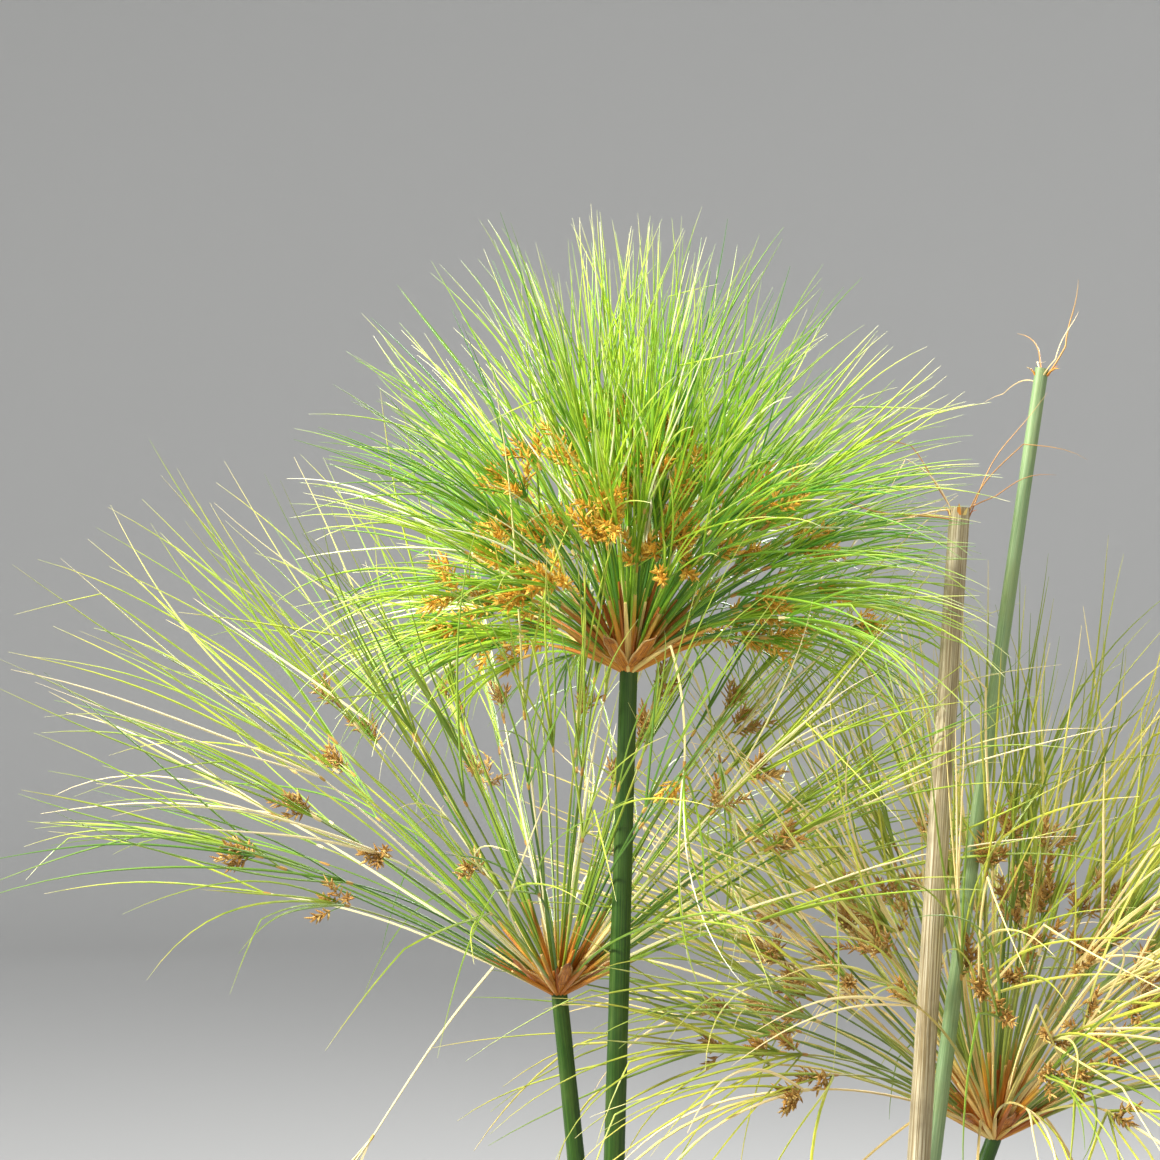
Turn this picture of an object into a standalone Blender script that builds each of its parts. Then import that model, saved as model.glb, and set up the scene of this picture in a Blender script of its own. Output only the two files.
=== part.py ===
"""Potted papyrus plant.

A clump of papyrus in a plain round clay pot. One rootstock lies in the soil and sends up three
culms, each crowned with an umbel of thread-like rays over a cup of bracts, two spent culms cut
back above the clump, and two young shoots. Papery sheaths wrap the foot of every stem.

Frame: metres, +Z up, origin at the centre of the pot's flat underside.
"""

import math
import random

import bmesh
import bpy
import numpy as np
from mathutils import Matrix, Vector

# Driving dimensions, in metres
GAP = 0.0004                    # clearance kept between two pieces that touch
POT_HEIGHT = 0.320
POT_FOOT_RADIUS = 0.150
POT_MOUTH_RADIUS = 0.196
POT_WALL = 0.013
POT_FLOOR = 0.020
RIM_HEIGHT = 0.042
RIM_PROUD = 0.008
EDGE_ROUND = 0.004              # rounding of the pot's foot and rim edges
SOIL_TOP = 0.283                # height of the soil at the pot wall
SOIL_MOUND = 0.008              # rise of the soil towards the middle
ROOT_CENTRE = Vector((0.004, 0.022, 0.281))
ROOT_HALF = Vector((0.152, 0.112, 0.030))
STEM_BURIAL = 0.008             # how far each stem goes below the soil's edge height
SHEATH_WALL = 0.0014
SLEEVE_IN = 1.3 * GAP           # clearance between a stem and the sheath round it
SHEATH_SLANT = 2.0              # slant of a sheath's top, in stem radii
SOCKET_DEPTH = 0.060            # length of the tool that cuts a stem's hole in the rootstock
TURNS = 40                      # facets round the pot and soil
STEM_SIDES = 12
STEM_RINGS = 8
THREE_SIDED = 0.07              # how strongly a stem's section leans to a rounded triangle
CORE_RADIUS = 0.010             # knot at the heart of an umbel
RAY_STEPS = 3
RAY_TIP_SCALE = 0.45
CAP_ANGLE = math.radians(78)    # part of the knot that carries rays, from straight up
BRACT_TILT = math.radians(64)   # bracts leave the culm at this angle from straight up
BRACT_CUP = math.radians(3)     # and turn up by this much from station to station
BRACT_TURN = 0.4                # azimuth of the first bract
BRACT_SHAPE = ((0.0056, 0.0012), (0.0095, 0.0012), (0.0112, 0.0011), (0.0078, 0.0009),
               (0.0014, 0.0006))
SAMPLE = 0.004                  # spacing of the points that keep pieces clear of each other
RAY_MARGIN = 0.0045             # half width of a ray, with room to spare
SWINGS = (0.0, 0.07, -0.07, 0.14, -0.14, 0.22, -0.22, 0.30, -0.30)
SHORTER = (1.0, 0.92, 0.84, 0.74, 0.62, 0.50, 0.38)

# Stems: foot on the soil, head, foot radius, head radius and the height of the wrapping sheath
STEMS = {
    "main": ((-0.099, -0.004), (-0.075, 0.000, 1.150), 0.0098, 0.0066, 0.150),
    "rear": ((-0.072, 0.072), (-0.128, 0.085, 0.895), 0.0092, 0.0062, 0.120),
    "side": ((0.048, 0.084), (0.217, 0.110, 0.777), 0.0085, 0.0056, 0.110),
    "cut_green": ((0.100, 0.042), (0.242, 0.040, 1.378), 0.0068, 0.0050, 0.100),
    "cut_dry": ((0.111, -0.028), (0.169, -0.030, 1.270), 0.0092, 0.0074, 0.090),
    "shoot_tall": ((0.006, -0.034), (0.012, -0.040, 0.500), 0.0070, 0.0010, 0.105),
    "shoot_short": ((-0.030, 0.020), (-0.034, 0.016, 0.400), 0.0062, 0.0010, 0.070),
}

# Umbels: ray reach, bract count, bract length, widest launch angle, the droop of outer rays,
# and the share by which rays towards +X are longer and rays towards -X are shorter
UMBELS = {
    "main": (0.315, 8, 0.056, 52, 64, 0.09),
    "rear": (0.430, 7, 0.060, 60, 46, -0.08),
    "side": (0.385, 7, 0.050, 60, 56, -0.06),
}

# Dried tufts left on the spent culms: ray count and reach
TUFTS = {"cut_green": (5, 0.085), "cut_dry": (7, 0.105)}

# Colour and roughness
CLAY = ((0.52, 0.24, 0.13), 0.85)
EARTH = ((0.055, 0.036, 0.022), 0.95)
ROOT = ((0.16, 0.075, 0.032), 0.85)
CULM_GREEN = ((0.060, 0.150, 0.025), 0.45)
CULM_PALE = ((0.230, 0.340, 0.110), 0.50)
CULM_DRY = ((0.480, 0.360, 0.200), 0.75)
SHEATH = ((0.270, 0.130, 0.045), 0.75)
BRACT = ((0.420, 0.190, 0.040), 0.65)
RAY_GREEN = ((0.260, 0.480, 0.080), 0.50)
RAY_OLIVE = ((0.340, 0.400, 0.090), 0.55)
RAY_DRY = ((0.460, 0.300, 0.100), 0.75)
STEM_LOOKS = {"cut_green": ("culm_pale", CULM_PALE), "cut_dry": ("culm_dry", CULM_DRY)}
RAY_LOOKS = {"main": ("ray_green", RAY_GREEN), "rear": ("ray_green", RAY_GREEN),
             "side": ("ray_olive", RAY_OLIVE)}


def clear_scene():
    """Remove whatever the new file starts with."""
    for obj in list(bpy.data.objects):
        bpy.data.objects.remove(obj, do_unlink=True)


def material(name, look):
    """Return the named material, made once."""
    found = bpy.data.materials.get(name)
    if found:
        return found
    colour, roughness = look
    made = bpy.data.materials.new(name)
    made.use_nodes = True
    shader = made.node_tree.nodes["Principled BSDF"]
    shader.inputs["Base Color"].default_value = (*colour, 1.0)
    shader.inputs["Roughness"].default_value = roughness
    shader.inputs["Metallic"].default_value = 0.0
    made.diffuse_color = (*colour, 1.0)
    return made


def add_object(name, bm, mat=None, smooth_angle=40):
    """Turn a bmesh into a named object with outward faces and smooth round sides."""
    bmesh.ops.recalc_face_normals(bm, faces=bm.faces)
    if bm.calc_volume(signed=True) < 0.0:
        bmesh.ops.reverse_faces(bm, faces=bm.faces)
    mesh = bpy.data.meshes.new(name)
    bm.to_mesh(mesh)
    bm.free()
    mesh.shade_smooth()
    mesh.set_sharp_from_angle(angle=math.radians(smooth_angle))
    obj = bpy.data.objects.new(name, mesh)
    bpy.context.scene.collection.objects.link(obj)
    if mat:
        mesh.materials.append(mat)
    return obj


def cut(obj, cutter):
    """Subtract a cutter that stays in the file as a wire guide."""
    cutter.hide_render = True
    cutter.display_type = "WIRE"
    modifier = obj.modifiers.new(cutter.name, "BOOLEAN")
    modifier.operation = "DIFFERENCE"
    modifier.solver = "EXACT"
    modifier.object = cutter


def turned(profile):
    """Spin an outline of (radius, height) points, starting and ending on the axis."""
    bm = bmesh.new()
    points = [bm.verts.new((radius, 0.0, height)) for radius, height in profile]
    for first, second in zip(points, points[1:]):
        bm.edges.new((first, second))
    bmesh.ops.spin(bm, geom=bm.verts[:] + bm.edges[:], axis=(0, 0, 1), cent=(0, 0, 0),
                   angle=math.tau, steps=TURNS, use_merge=True)
    bmesh.ops.remove_doubles(bm, verts=bm.verts, dist=1e-6)
    return bm


def pot_inner_radius(height):
    """Radius of the pot's inner wall at a height."""
    slope = (POT_MOUTH_RADIUS - POT_FOOT_RADIUS) / POT_HEIGHT
    return POT_FOOT_RADIUS - POT_WALL + slope * height


def make_pot():
    """Tapered round pot with a thick plain rim and no hole in its floor."""
    rim_low = POT_HEIGHT - RIM_HEIGHT
    rim_radius = POT_MOUTH_RADIUS + RIM_PROUD
    profile = [
        (0.0, 0.0),
        (POT_FOOT_RADIUS - EDGE_ROUND, 0.0),
        (POT_FOOT_RADIUS, EDGE_ROUND),
        (pot_inner_radius(rim_low) + POT_WALL, rim_low),
        (rim_radius - EDGE_ROUND, rim_low),
        (rim_radius, rim_low + EDGE_ROUND),
        (rim_radius, POT_HEIGHT - EDGE_ROUND),
        (rim_radius - EDGE_ROUND, POT_HEIGHT),
        (pot_inner_radius(POT_HEIGHT) + EDGE_ROUND, POT_HEIGHT),
        (pot_inner_radius(POT_HEIGHT), POT_HEIGHT - EDGE_ROUND),
        (pot_inner_radius(POT_FLOOR), POT_FLOOR),
        (0.0, POT_FLOOR),
    ]
    return add_object("pot", turned(profile), material("clay", CLAY), 30)


def make_soil():
    """Potting soil, filling the pot to below its rim and rising a little in the middle."""
    low = POT_FLOOR + GAP
    edge = pot_inner_radius(SOIL_TOP) - 2 * GAP
    profile = [
        (0.0, low),
        (pot_inner_radius(low) - 2 * GAP, low),
        (edge, SOIL_TOP),
        (edge * 0.72, SOIL_TOP + SOIL_MOUND * 0.6),
        (edge * 0.36, SOIL_TOP + SOIL_MOUND),
        (0.0, SOIL_TOP + SOIL_MOUND),
    ]
    return add_object("soil", turned(profile), material("earth", EARTH))


def root_body(swell):
    """Lumpy rootstock, grown outwards by swell."""
    bm = bmesh.new()
    bmesh.ops.create_icosphere(bm, subdivisions=3, radius=1.0)
    for vert in bm.verts:
        x, y, z = vert.co
        lump = 1.0 + 0.05 * math.sin(7.0 * x + 1.0) * math.cos(6.0 * y) + 0.03 * math.sin(11.0 * y)
        vert.co = Vector((x * ROOT_HALF.x, y * ROOT_HALF.y, z * ROOT_HALF.z)) * lump + ROOT_CENTRE
    bm.normal_update()
    for vert in bm.verts:
        vert.co += vert.normal * swell
    return bm


def stem_point(stem, along):
    """Centre of a stem at a fraction of its length, on a gently bowed line."""
    foot, head, _, _, _ = STEMS[stem]
    low = Vector((*foot, SOIL_TOP - STEM_BURIAL))
    high = Vector(head)
    bend = Vector((*low.lerp(high, 0.42).to_2d(), low.lerp(high, 0.5).z))
    return low.lerp(bend, along).lerp(bend.lerp(high, along), along)


def stem_direction(stem, along):
    """Unit direction of a stem at a fraction of its length."""
    step = 0.001
    return (stem_point(stem, along + step) - stem_point(stem, along - step)).normalized()


def stem_radius(stem, along):
    """Mean radius of a stem at a fraction of its length."""
    _, _, foot_radius, head_radius, _ = STEMS[stem]
    return foot_radius + (head_radius - foot_radius) * along


def stem_height(stem):
    """Height of a stem above its buried foot."""
    return STEMS[stem][1][2] - SOIL_TOP + STEM_BURIAL


def place_ring(bm, stem, along, extra=0.0, slant=0.0, cap=False):
    """Add one rounded-triangle section, extra wider than the stem, and return its verts.

    A slant lifts the ring on one side, and every vert keeps to the stem's own line and taper.
    """
    ring = bmesh.ops.create_circle(bm, cap_ends=cap, segments=STEM_SIDES, radius=1.0)["verts"]
    for vert in ring:
        angle = math.atan2(vert.co.y, vert.co.x)
        spot = along + slant * math.cos(angle) / stem_height(stem)
        reach = (stem_radius(stem, spot) + extra) * (1.0 + THREE_SIDED * math.cos(3.0 * angle))
        turn = Vector((0, 0, 1)).rotation_difference(stem_direction(stem, spot)).to_matrix()
        local = Vector((reach * math.cos(angle), reach * math.sin(angle), 0.0))
        vert.co = stem_point(stem, spot) + turn @ local
    return ring


def bridge(bm, first, second):
    """Join two rings, whose verts run in the same order, with a band of faces."""
    for index, vert in enumerate(first):
        bm.faces.new((first[index - 1], vert, second[index], second[index - 1]))


def make_stem(stem, mat):
    """Solid stem from its foot to its head."""
    bm = bmesh.new()
    rings = []
    for index in range(STEM_RINGS + 1):
        along = index / STEM_RINGS
        at_end = index in (0, STEM_RINGS)
        rings.append(place_ring(bm, stem, along, cap=at_end))
    for first, second in zip(rings, rings[1:]):
        bridge(bm, first, second)
    return add_object(f"culm_{stem}", bm, mat)


def make_sheath(stem, mat):
    """Papery sleeve round the foot of a stem, cut on the slant at its top."""
    bm = bmesh.new()
    top = STEMS[stem][4] / stem_height(stem)
    slant = SHEATH_SLANT * stem_radius(stem, 0.0)
    stations = [(0.0, 0.0), (top * 0.5, 0.0), (top, slant)]
    outside = [place_ring(bm, stem, along, SLEEVE_IN + SHEATH_WALL, lean)
               for along, lean in stations]
    inside = [place_ring(bm, stem, along, SLEEVE_IN, lean) for along, lean in reversed(stations)]
    loops = outside + inside
    for first, second in zip(loops, loops[1:] + loops[:1]):
        bridge(bm, first, second)
    return add_object(f"sheath_{stem}", bm, mat)


def make_socket(stem, root):
    """Cut the hole in the rootstock that a stem and its sheath stand in."""
    bm = bmesh.new()
    extra = 2 * SLEEVE_IN + SHEATH_WALL
    low = place_ring(bm, stem, -GAP / stem_height(stem), extra, cap=True)
    high = place_ring(bm, stem, SOCKET_DEPTH / stem_height(stem), extra, cap=True)
    bridge(bm, low, high)
    cut(root, add_object(f"socket_{stem}", bm))


def push_face(bm, face, heading, turn_to, distance, shrink):
    """Extrude a face towards a new heading, turning and shrinking it on the way."""
    middle = face.calc_center_median()
    made = bmesh.ops.extrude_discrete_faces(bm, faces=[face])["faces"][0]
    turn = heading.rotation_difference(turn_to).to_matrix()
    for vert in made.verts:
        vert.co = middle + turn_to * distance + turn @ (vert.co - middle) * shrink
    return made


class TakenSpace:
    """Points with a radius where pieces already stand, so that rays can pass between them."""

    def __init__(self):
        self.points = np.empty((0, 3))
        self.radii = np.empty(0)
        self.owners = np.empty(0, dtype=object)

    def add(self, points, radius, owner):
        """Mark points as taken by a stem or by what grows on it."""
        self.points = np.vstack([self.points, np.array([tuple(point) for point in points])])
        self.radii = np.append(self.radii, np.full(len(points), radius))
        self.owners = np.append(self.owners, np.full(len(points), owner, dtype=object))

    def is_clear(self, points, owner):
        """Say whether a ray through these points misses all that other stems carry."""
        others = self.owners != owner
        places = np.array([tuple(point) for point in points])
        away = np.linalg.norm(places[:, None, :] - self.points[others][None, :, :], axis=2)
        return bool((away > self.radii[others] + RAY_MARGIN).all())


def sampled(points):
    """Points at close spacing along a broken line."""
    found = []
    for first, second in zip(points, points[1:]):
        count = max(1, math.ceil((second - first).length / SAMPLE))
        found += [first.lerp(second, index / count) for index in range(count)]
    return found + [points[-1]]


def ray_heading(tilt, azimuth):
    """Unit direction at a tilt from straight up."""
    return Vector((math.sin(tilt) * math.cos(azimuth),
                   math.sin(tilt) * math.sin(azimuth),
                   math.cos(tilt)))


def ray_route(start, azimuth, launch, bend, reach, swing):
    """Points along a ray that arches outwards and swings a little sideways."""
    points = [start]
    for step in range(RAY_STEPS):
        along = (step + 0.5) / RAY_STEPS
        heading = ray_heading(launch + bend * along ** 1.3, azimuth + swing * along)
        points.append(points[-1] + heading * reach / RAY_STEPS)
    return points


def clear_route(taken, owner, start, azimuth, launch, bend, reach):
    """First route, swung or shortened as needed, that misses the other stems' pieces."""
    for shorter in SHORTER:
        for swing in SWINGS:
            route = ray_route(start, azimuth, launch, bend, reach * shorter, swing)
            if taken.is_clear(sampled(route), owner):
                return route
    return None


def grow_ray(bm, face, route):
    """Draw one face of the knot out along a route into a thin ray."""
    heading = face.normal.copy()
    shrink = RAY_TIP_SCALE ** (1.0 / RAY_STEPS)
    for first, second in zip(route, route[1:]):
        step = second - first
        face = push_face(bm, face, heading, step.normalized(), step.length, shrink)
        heading = step.normalized()


def make_spray(name, bm, mat, faces, stem, taken, centre, reach, widest, droop, lopsided=0.0):
    """Grow rays from faces of a knot, keep the space they take and make the object."""
    chance = random.Random(name)
    for face in faces:
        outward = (face.calc_center_median() - centre).normalized()
        fraction = math.acos(max(-1.0, min(1.0, outward.z))) / CAP_ANGLE
        bend = math.radians(22) * fraction + math.radians(droop) * fraction ** 3
        length = reach * (1.0 + lopsided * outward.x) * chance.uniform(0.88, 1.0)
        route = clear_route(taken, stem, face.calc_center_median(),
                            math.atan2(outward.y, outward.x), math.radians(widest) * fraction,
                            bend, length)
        if route:
            grow_ray(bm, face, route)
            taken.add(sampled(route), RAY_MARGIN / 2, stem)
    return add_object(name, bm, mat, 60)


def make_umbel(stem, mat, taken):
    """Umbel's rays as one solid that reaches their tips, growing from a knot on the culm."""
    reach, _, _, widest, droop, lopsided = UMBELS[stem]
    bm = bmesh.new()
    centre = Vector(STEMS[stem][1]) + Vector((0, 0, CORE_RADIUS + 3 * GAP))
    bmesh.ops.create_icosphere(bm, subdivisions=3, radius=CORE_RADIUS,
                               matrix=Matrix.Translation(centre))
    bm.normal_update()
    upper = [face for face in bm.faces if face.normal.z > math.cos(CAP_ANGLE)]
    upper.sort(key=lambda face: (round(face.normal.z, 3), math.atan2(face.normal.y, face.normal.x)))
    return make_spray(f"umbel_{stem}_rays", bm, mat, upper[::2], stem, taken, centre,
                      reach, widest, droop, lopsided)


def make_tuft(stem, mat, taken):
    """Few dried rays left on the cut end of a spent culm."""
    count, reach = TUFTS[stem]
    bm = bmesh.new()
    radius = STEMS[stem][3] * 0.5
    centre = Vector(STEMS[stem][1]) + Vector((0, 0, radius + 3 * GAP))
    bmesh.ops.create_icosphere(bm, subdivisions=2, radius=radius,
                               matrix=Matrix.Translation(centre))
    bm.normal_update()
    upper = [face for face in bm.faces if face.normal.z > 0.1]
    faces = random.Random(f"tuft {stem}").sample(upper, count)
    return make_spray(f"tuft_{stem}", bm, mat, faces, stem, taken, centre, reach, 70, 20)


def bract_line(stem, index):
    """Azimuth of a bract, with the points and tilts along its middle."""
    _, count, length, _, _, _ = UMBELS[stem]
    azimuth = math.tau * index / count + BRACT_TURN
    outward = ray_heading(math.pi / 2, azimuth)
    points = [Vector(STEMS[stem][1]) + outward * (STEMS[stem][3] * 1.3 + GAP)]
    tilts = [BRACT_TILT - BRACT_CUP * step for step in range(len(BRACT_SHAPE))]
    for tilt in tilts[1:]:
        points.append(points[-1] + ray_heading(tilt, azimuth) * length / (len(tilts) - 1))
    return azimuth, points, tilts


def make_bract(stem, index, mat):
    """One pointed leafy bract of the cup under an umbel."""
    azimuth, points, tilts = bract_line(stem, index)
    side = ray_heading(math.pi / 2, azimuth + math.pi / 2)
    bm = bmesh.new()
    rings = []
    for point, tilt, (wide, thick) in zip(points, tilts, BRACT_SHAPE):
        above = side.cross(ray_heading(tilt, azimuth))
        at_end = point in (points[0], points[-1])
        ring = bmesh.ops.create_circle(bm, cap_ends=at_end, segments=4, radius=1.0)["verts"]
        for vert in ring:
            across = math.copysign(wide / 2, vert.co.x + vert.co.y)
            up = math.copysign(thick / 2, vert.co.y - vert.co.x)
            vert.co = point + side * across + above * up
        rings.append(ring)
    for first, second in zip(rings, rings[1:]):
        bridge(bm, first, second)
    return add_object(f"bract_{stem}_{index + 1}", bm, mat, 30)


def main():
    """Build the whole plant."""
    clear_scene()
    sheath_mat = material("sheath", SHEATH)
    make_pot()
    soil = make_soil()
    root = add_object("rootstock", root_body(0.0), material("root", ROOT), 60)
    cut(soil, add_object("root_bed", root_body(1.5 * GAP)))
    taken = TakenSpace()
    for stem in STEMS:
        make_stem(stem, material(*STEM_LOOKS.get(stem, ("culm_green", CULM_GREEN))))
        make_sheath(stem, sheath_mat)
        make_socket(stem, root)
        line = [stem_point(stem, index / 40) for index in range(41)]
        taken.add(sampled(line), stem_radius(stem, 0.0) + SHEATH_WALL, stem)
    for stem, (_, bract_count, _, _, _, _) in UMBELS.items():
        for index in range(bract_count):
            make_bract(stem, index, material("bract", BRACT))
            taken.add(sampled(bract_line(stem, index)[1]), BRACT_SHAPE[2][0], stem)
    for stem in TUFTS:
        make_tuft(stem, material("ray_dry", RAY_DRY), taken)
    for stem in UMBELS:
        make_umbel(stem, material(*RAY_LOOKS[stem]), taken)


main()
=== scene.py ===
"""Looks of a potted papyrus plant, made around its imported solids.

The plant is a clump of three umbels on tall rounded-triangular culms, two spent culms cut back
above the clump and two young shoots, all from one rootstock in a clay pot. Each sub-assembly is
a class that reads its place from the frame, builds its meshes and dresses them.

Units are metres, +Z is up, and the origin is the centre of the pot's flat underside.
"""

import logging
import math
from dataclasses import dataclass
from enum import Enum
from functools import cache

import bmesh
import bpy
import numpy as np
from mathutils import Matrix, Vector, noise


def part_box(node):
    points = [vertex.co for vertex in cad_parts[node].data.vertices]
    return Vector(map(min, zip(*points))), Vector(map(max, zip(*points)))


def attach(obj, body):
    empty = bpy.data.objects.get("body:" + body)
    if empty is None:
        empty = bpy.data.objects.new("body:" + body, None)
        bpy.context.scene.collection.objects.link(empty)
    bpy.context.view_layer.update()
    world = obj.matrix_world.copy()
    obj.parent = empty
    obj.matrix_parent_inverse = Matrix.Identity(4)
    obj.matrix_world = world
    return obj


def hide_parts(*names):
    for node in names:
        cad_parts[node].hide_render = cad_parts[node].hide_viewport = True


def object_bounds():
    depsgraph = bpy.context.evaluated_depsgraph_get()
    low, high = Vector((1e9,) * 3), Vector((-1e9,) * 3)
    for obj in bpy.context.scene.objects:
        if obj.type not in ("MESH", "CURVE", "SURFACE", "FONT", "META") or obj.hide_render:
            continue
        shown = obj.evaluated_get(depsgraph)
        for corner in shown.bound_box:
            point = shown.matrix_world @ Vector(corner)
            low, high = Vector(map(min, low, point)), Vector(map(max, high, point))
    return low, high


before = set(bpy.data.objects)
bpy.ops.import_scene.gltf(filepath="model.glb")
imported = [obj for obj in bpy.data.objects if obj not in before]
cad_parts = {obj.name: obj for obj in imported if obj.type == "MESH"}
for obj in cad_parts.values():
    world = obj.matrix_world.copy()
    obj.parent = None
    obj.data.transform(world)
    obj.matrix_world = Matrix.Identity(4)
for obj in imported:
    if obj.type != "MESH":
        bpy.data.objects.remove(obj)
CAD_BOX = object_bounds()

log = logging.getLogger("papyrus")

BOX_SPARE = 0.006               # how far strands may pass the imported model's box
EDGE_FADE = 0.070               # raggedness of an umbel's outline where its reach is limited
STEM_MARGIN = 0.002             # air kept between a strand and another umbel's stem
SWINGS_ASIDE = (0.12, -0.24, 0.36, -0.48)       # turns tried on a strand that meets a stem
CUTS = 12                       # how many times a strand past its limit is cut
STEP_BACK = 0.94                # share of its length that a strand keeps each time it is cut
GOLDEN_ANGLE = math.pi * (3.0 - math.sqrt(5.0))
SIDEWAYS = math.pi / 2          # tilt of a level direction
NO_KINK = 2.0                   # place of a kink past a strand's tip, so that it has none
UP = np.array((0.0, 0.0, 1.0))
MIX_FIRST, MIX_SECOND, MIX_RESULT = 6, 7, 2     # colour sockets of a Mix node

Colour = tuple[float, float, float]
Stretch = tuple[float, float, float]
Range = tuple[float, float]
Socket = bpy.types.NodeSocket


# --- Finishes ------------------------------------------------------------------------------


class Bench:
    """A material's node tree, with a short call for each node that the finishes share."""

    def __init__(self, name: str, roughness: float, specular: float = 0.5,
                 coat: float = 0.0) -> None:
        """Start a Principled material.

        Args:
            name: The material's name.
            roughness: The shader's own roughness.
            specular: The shader's specular level.
            coat: Weight of a clear waxy coat.
        """
        self.material = bpy.data.materials.new(name)
        self.material.use_nodes = True
        self.nodes = self.material.node_tree.nodes
        self.links = self.material.node_tree.links
        self.shader = self.nodes["Principled BSDF"]
        self.shader.inputs["Roughness"].default_value = roughness
        self.shader.inputs["Specular IOR Level"].default_value = specular
        self.shader.inputs["Coat Weight"].default_value = coat
        self.shader.inputs["Coat Roughness"].default_value = 0.25

    def wire(self, source: Socket | float | Colour, target: Socket) -> None:
        """Set an input.

        Args:
            source: A socket, a number or a colour.
            target: The input.
        """
        if isinstance(source, Socket):
            self.links.new(source, target)
        elif isinstance(source, tuple) and len(source) == 3 and target.type == "RGBA":
            target.default_value = (*source, 1.0)
        else:
            target.default_value = source

    def attribute(self, name: str, output: str = "Fac") -> Socket:
        """Read what a mesh carries.

        Args:
            name: Name of the attribute.
            output: Fac for a number, Vector for a vector.

        Returns:
            The attribute's socket.
        """
        node = self.nodes.new("ShaderNodeAttribute")
        node.attribute_name = name
        return node.outputs[output]

    def place(self) -> Socket:
        """Object coordinates."""
        return self.nodes.new("ShaderNodeTexCoord").outputs["Object"]

    def stretch(self, vector: Socket, scale: Stretch) -> Socket:
        """Scale a vector along its own axes.

        Args:
            vector: The vector.
            scale: Factor along each axis.

        Returns:
            The scaled vector.
        """
        node = self.nodes.new("ShaderNodeMapping")
        node.inputs["Scale"].default_value = scale
        self.wire(vector, node.inputs["Vector"])
        return node.outputs["Vector"]

    def cloud(self, vector: Socket, scale: float, detail: float = 4.0,
              rough: float = 0.55) -> Socket:
        """Fractal noise from 0 to 1.

        Args:
            vector: Where to read the noise.
            scale: Lumps to a unit of the vector, roughly.
            detail: Octaves.
            rough: Weight of the finer octaves.

        Returns:
            The noise.
        """
        node = self.nodes.new("ShaderNodeTexNoise")
        node.inputs["Scale"].default_value = scale
        node.inputs["Detail"].default_value = detail
        node.inputs["Roughness"].default_value = rough
        self.wire(vector, node.inputs["Vector"])
        return node.outputs["Fac"]

    def cells(self, vector: Socket, scale: float) -> Socket:
        """Distance to the nearest of a set of scattered points.

        Args:
            vector: Where to read the distance.
            scale: Points to a unit of the vector, roughly.

        Returns:
            The distance.
        """
        node = self.nodes.new("ShaderNodeTexVoronoi")
        node.inputs["Scale"].default_value = scale
        self.wire(vector, node.inputs["Vector"])
        return node.outputs["Distance"]

    def ramp(self, value: Socket, *stops: tuple[float, Colour]) -> Socket:
        """Colour by value.

        Args:
            value: What to colour by.
            stops: Values with their colours.

        Returns:
            The colour.
        """
        node = self.nodes.new("ShaderNodeValToRGB")
        elements = node.color_ramp.elements
        while len(elements) < len(stops):
            elements.new(0.5)
        for element, (at, colour) in zip(elements, stops):
            element.position = at
            element.color = (*colour, 1.0)
        self.wire(value, node.inputs["Fac"])
        return node.outputs["Color"]

    def range(self, value: Socket, low: float, high: float, to_low: float = 0.0,
              to_high: float = 1.0) -> Socket:
        """Remap a value, clamped to the new range.

        Args:
            value: The value.
            low: Start of its range.
            high: End of its range.
            to_low: Start of the new range.
            to_high: End of the new range.

        Returns:
            The remapped value.
        """
        node = self.nodes.new("ShaderNodeMapRange")
        for name, number in (("From Min", low), ("From Max", high),
                             ("To Min", to_low), ("To Max", to_high)):
            node.inputs[name].default_value = number
        self.wire(value, node.inputs["Value"])
        return node.outputs["Result"]

    def mix(self, share: Socket, first: Socket | Colour, second: Socket | Colour) -> Socket:
        """Mix two colours.

        Args:
            share: How much of the second colour shows.
            first: The first colour.
            second: The second colour.

        Returns:
            The mixed colour.
        """
        node = self.nodes.new("ShaderNodeMix")
        node.data_type = "RGBA"
        self.wire(share, node.inputs["Factor"])
        self.wire(first, node.inputs[MIX_FIRST])
        self.wire(second, node.inputs[MIX_SECOND])
        return node.outputs[MIX_RESULT]

    def lay(self, under: Socket | Colour, over: Colour, value: Socket, low: float, high: float,
            most: float = 1.0) -> Socket:
        """Lay one colour over another where a value is high.

        Args:
            under: The colour below.
            over: The colour on top.
            value: What decides where it shows.
            low: Value at which it starts to show.
            high: Value at which it shows most.
            most: How much of it shows there.

        Returns:
            The new colour.
        """
        return self.mix(self.range(value, low, high, 0.0, most), under, over)

    def product(self, first: Socket, second: Socket) -> Socket:
        """Product of two values, clamped from 0 to 1.

        Args:
            first: The first value.
            second: The second value.

        Returns:
            The product.
        """
        node = self.nodes.new("ShaderNodeMath")
        node.operation = "MULTIPLY"
        node.use_clamp = True
        self.wire(first, node.inputs[0])
        self.wire(second, node.inputs[1])
        return node.outputs["Value"]

    def relief(self, height: Socket, depth: float, under: Socket | None = None) -> Socket:
        """Bump whose full height is a real depth.

        Args:
            height: The bump's height, from 0 to 1.
            depth: What a height of 1 stands for, in metres.
            under: Normal of a coarser bump below it.

        Returns:
            The bumped normal.
        """
        node = self.nodes.new("ShaderNodeBump")
        node.inputs["Strength"].default_value = 1.0
        node.inputs["Distance"].default_value = depth
        self.wire(height, node.inputs["Height"])
        if under is not None:
            self.links.new(under, node.inputs["Normal"])
        return node.outputs["Normal"]

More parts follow.
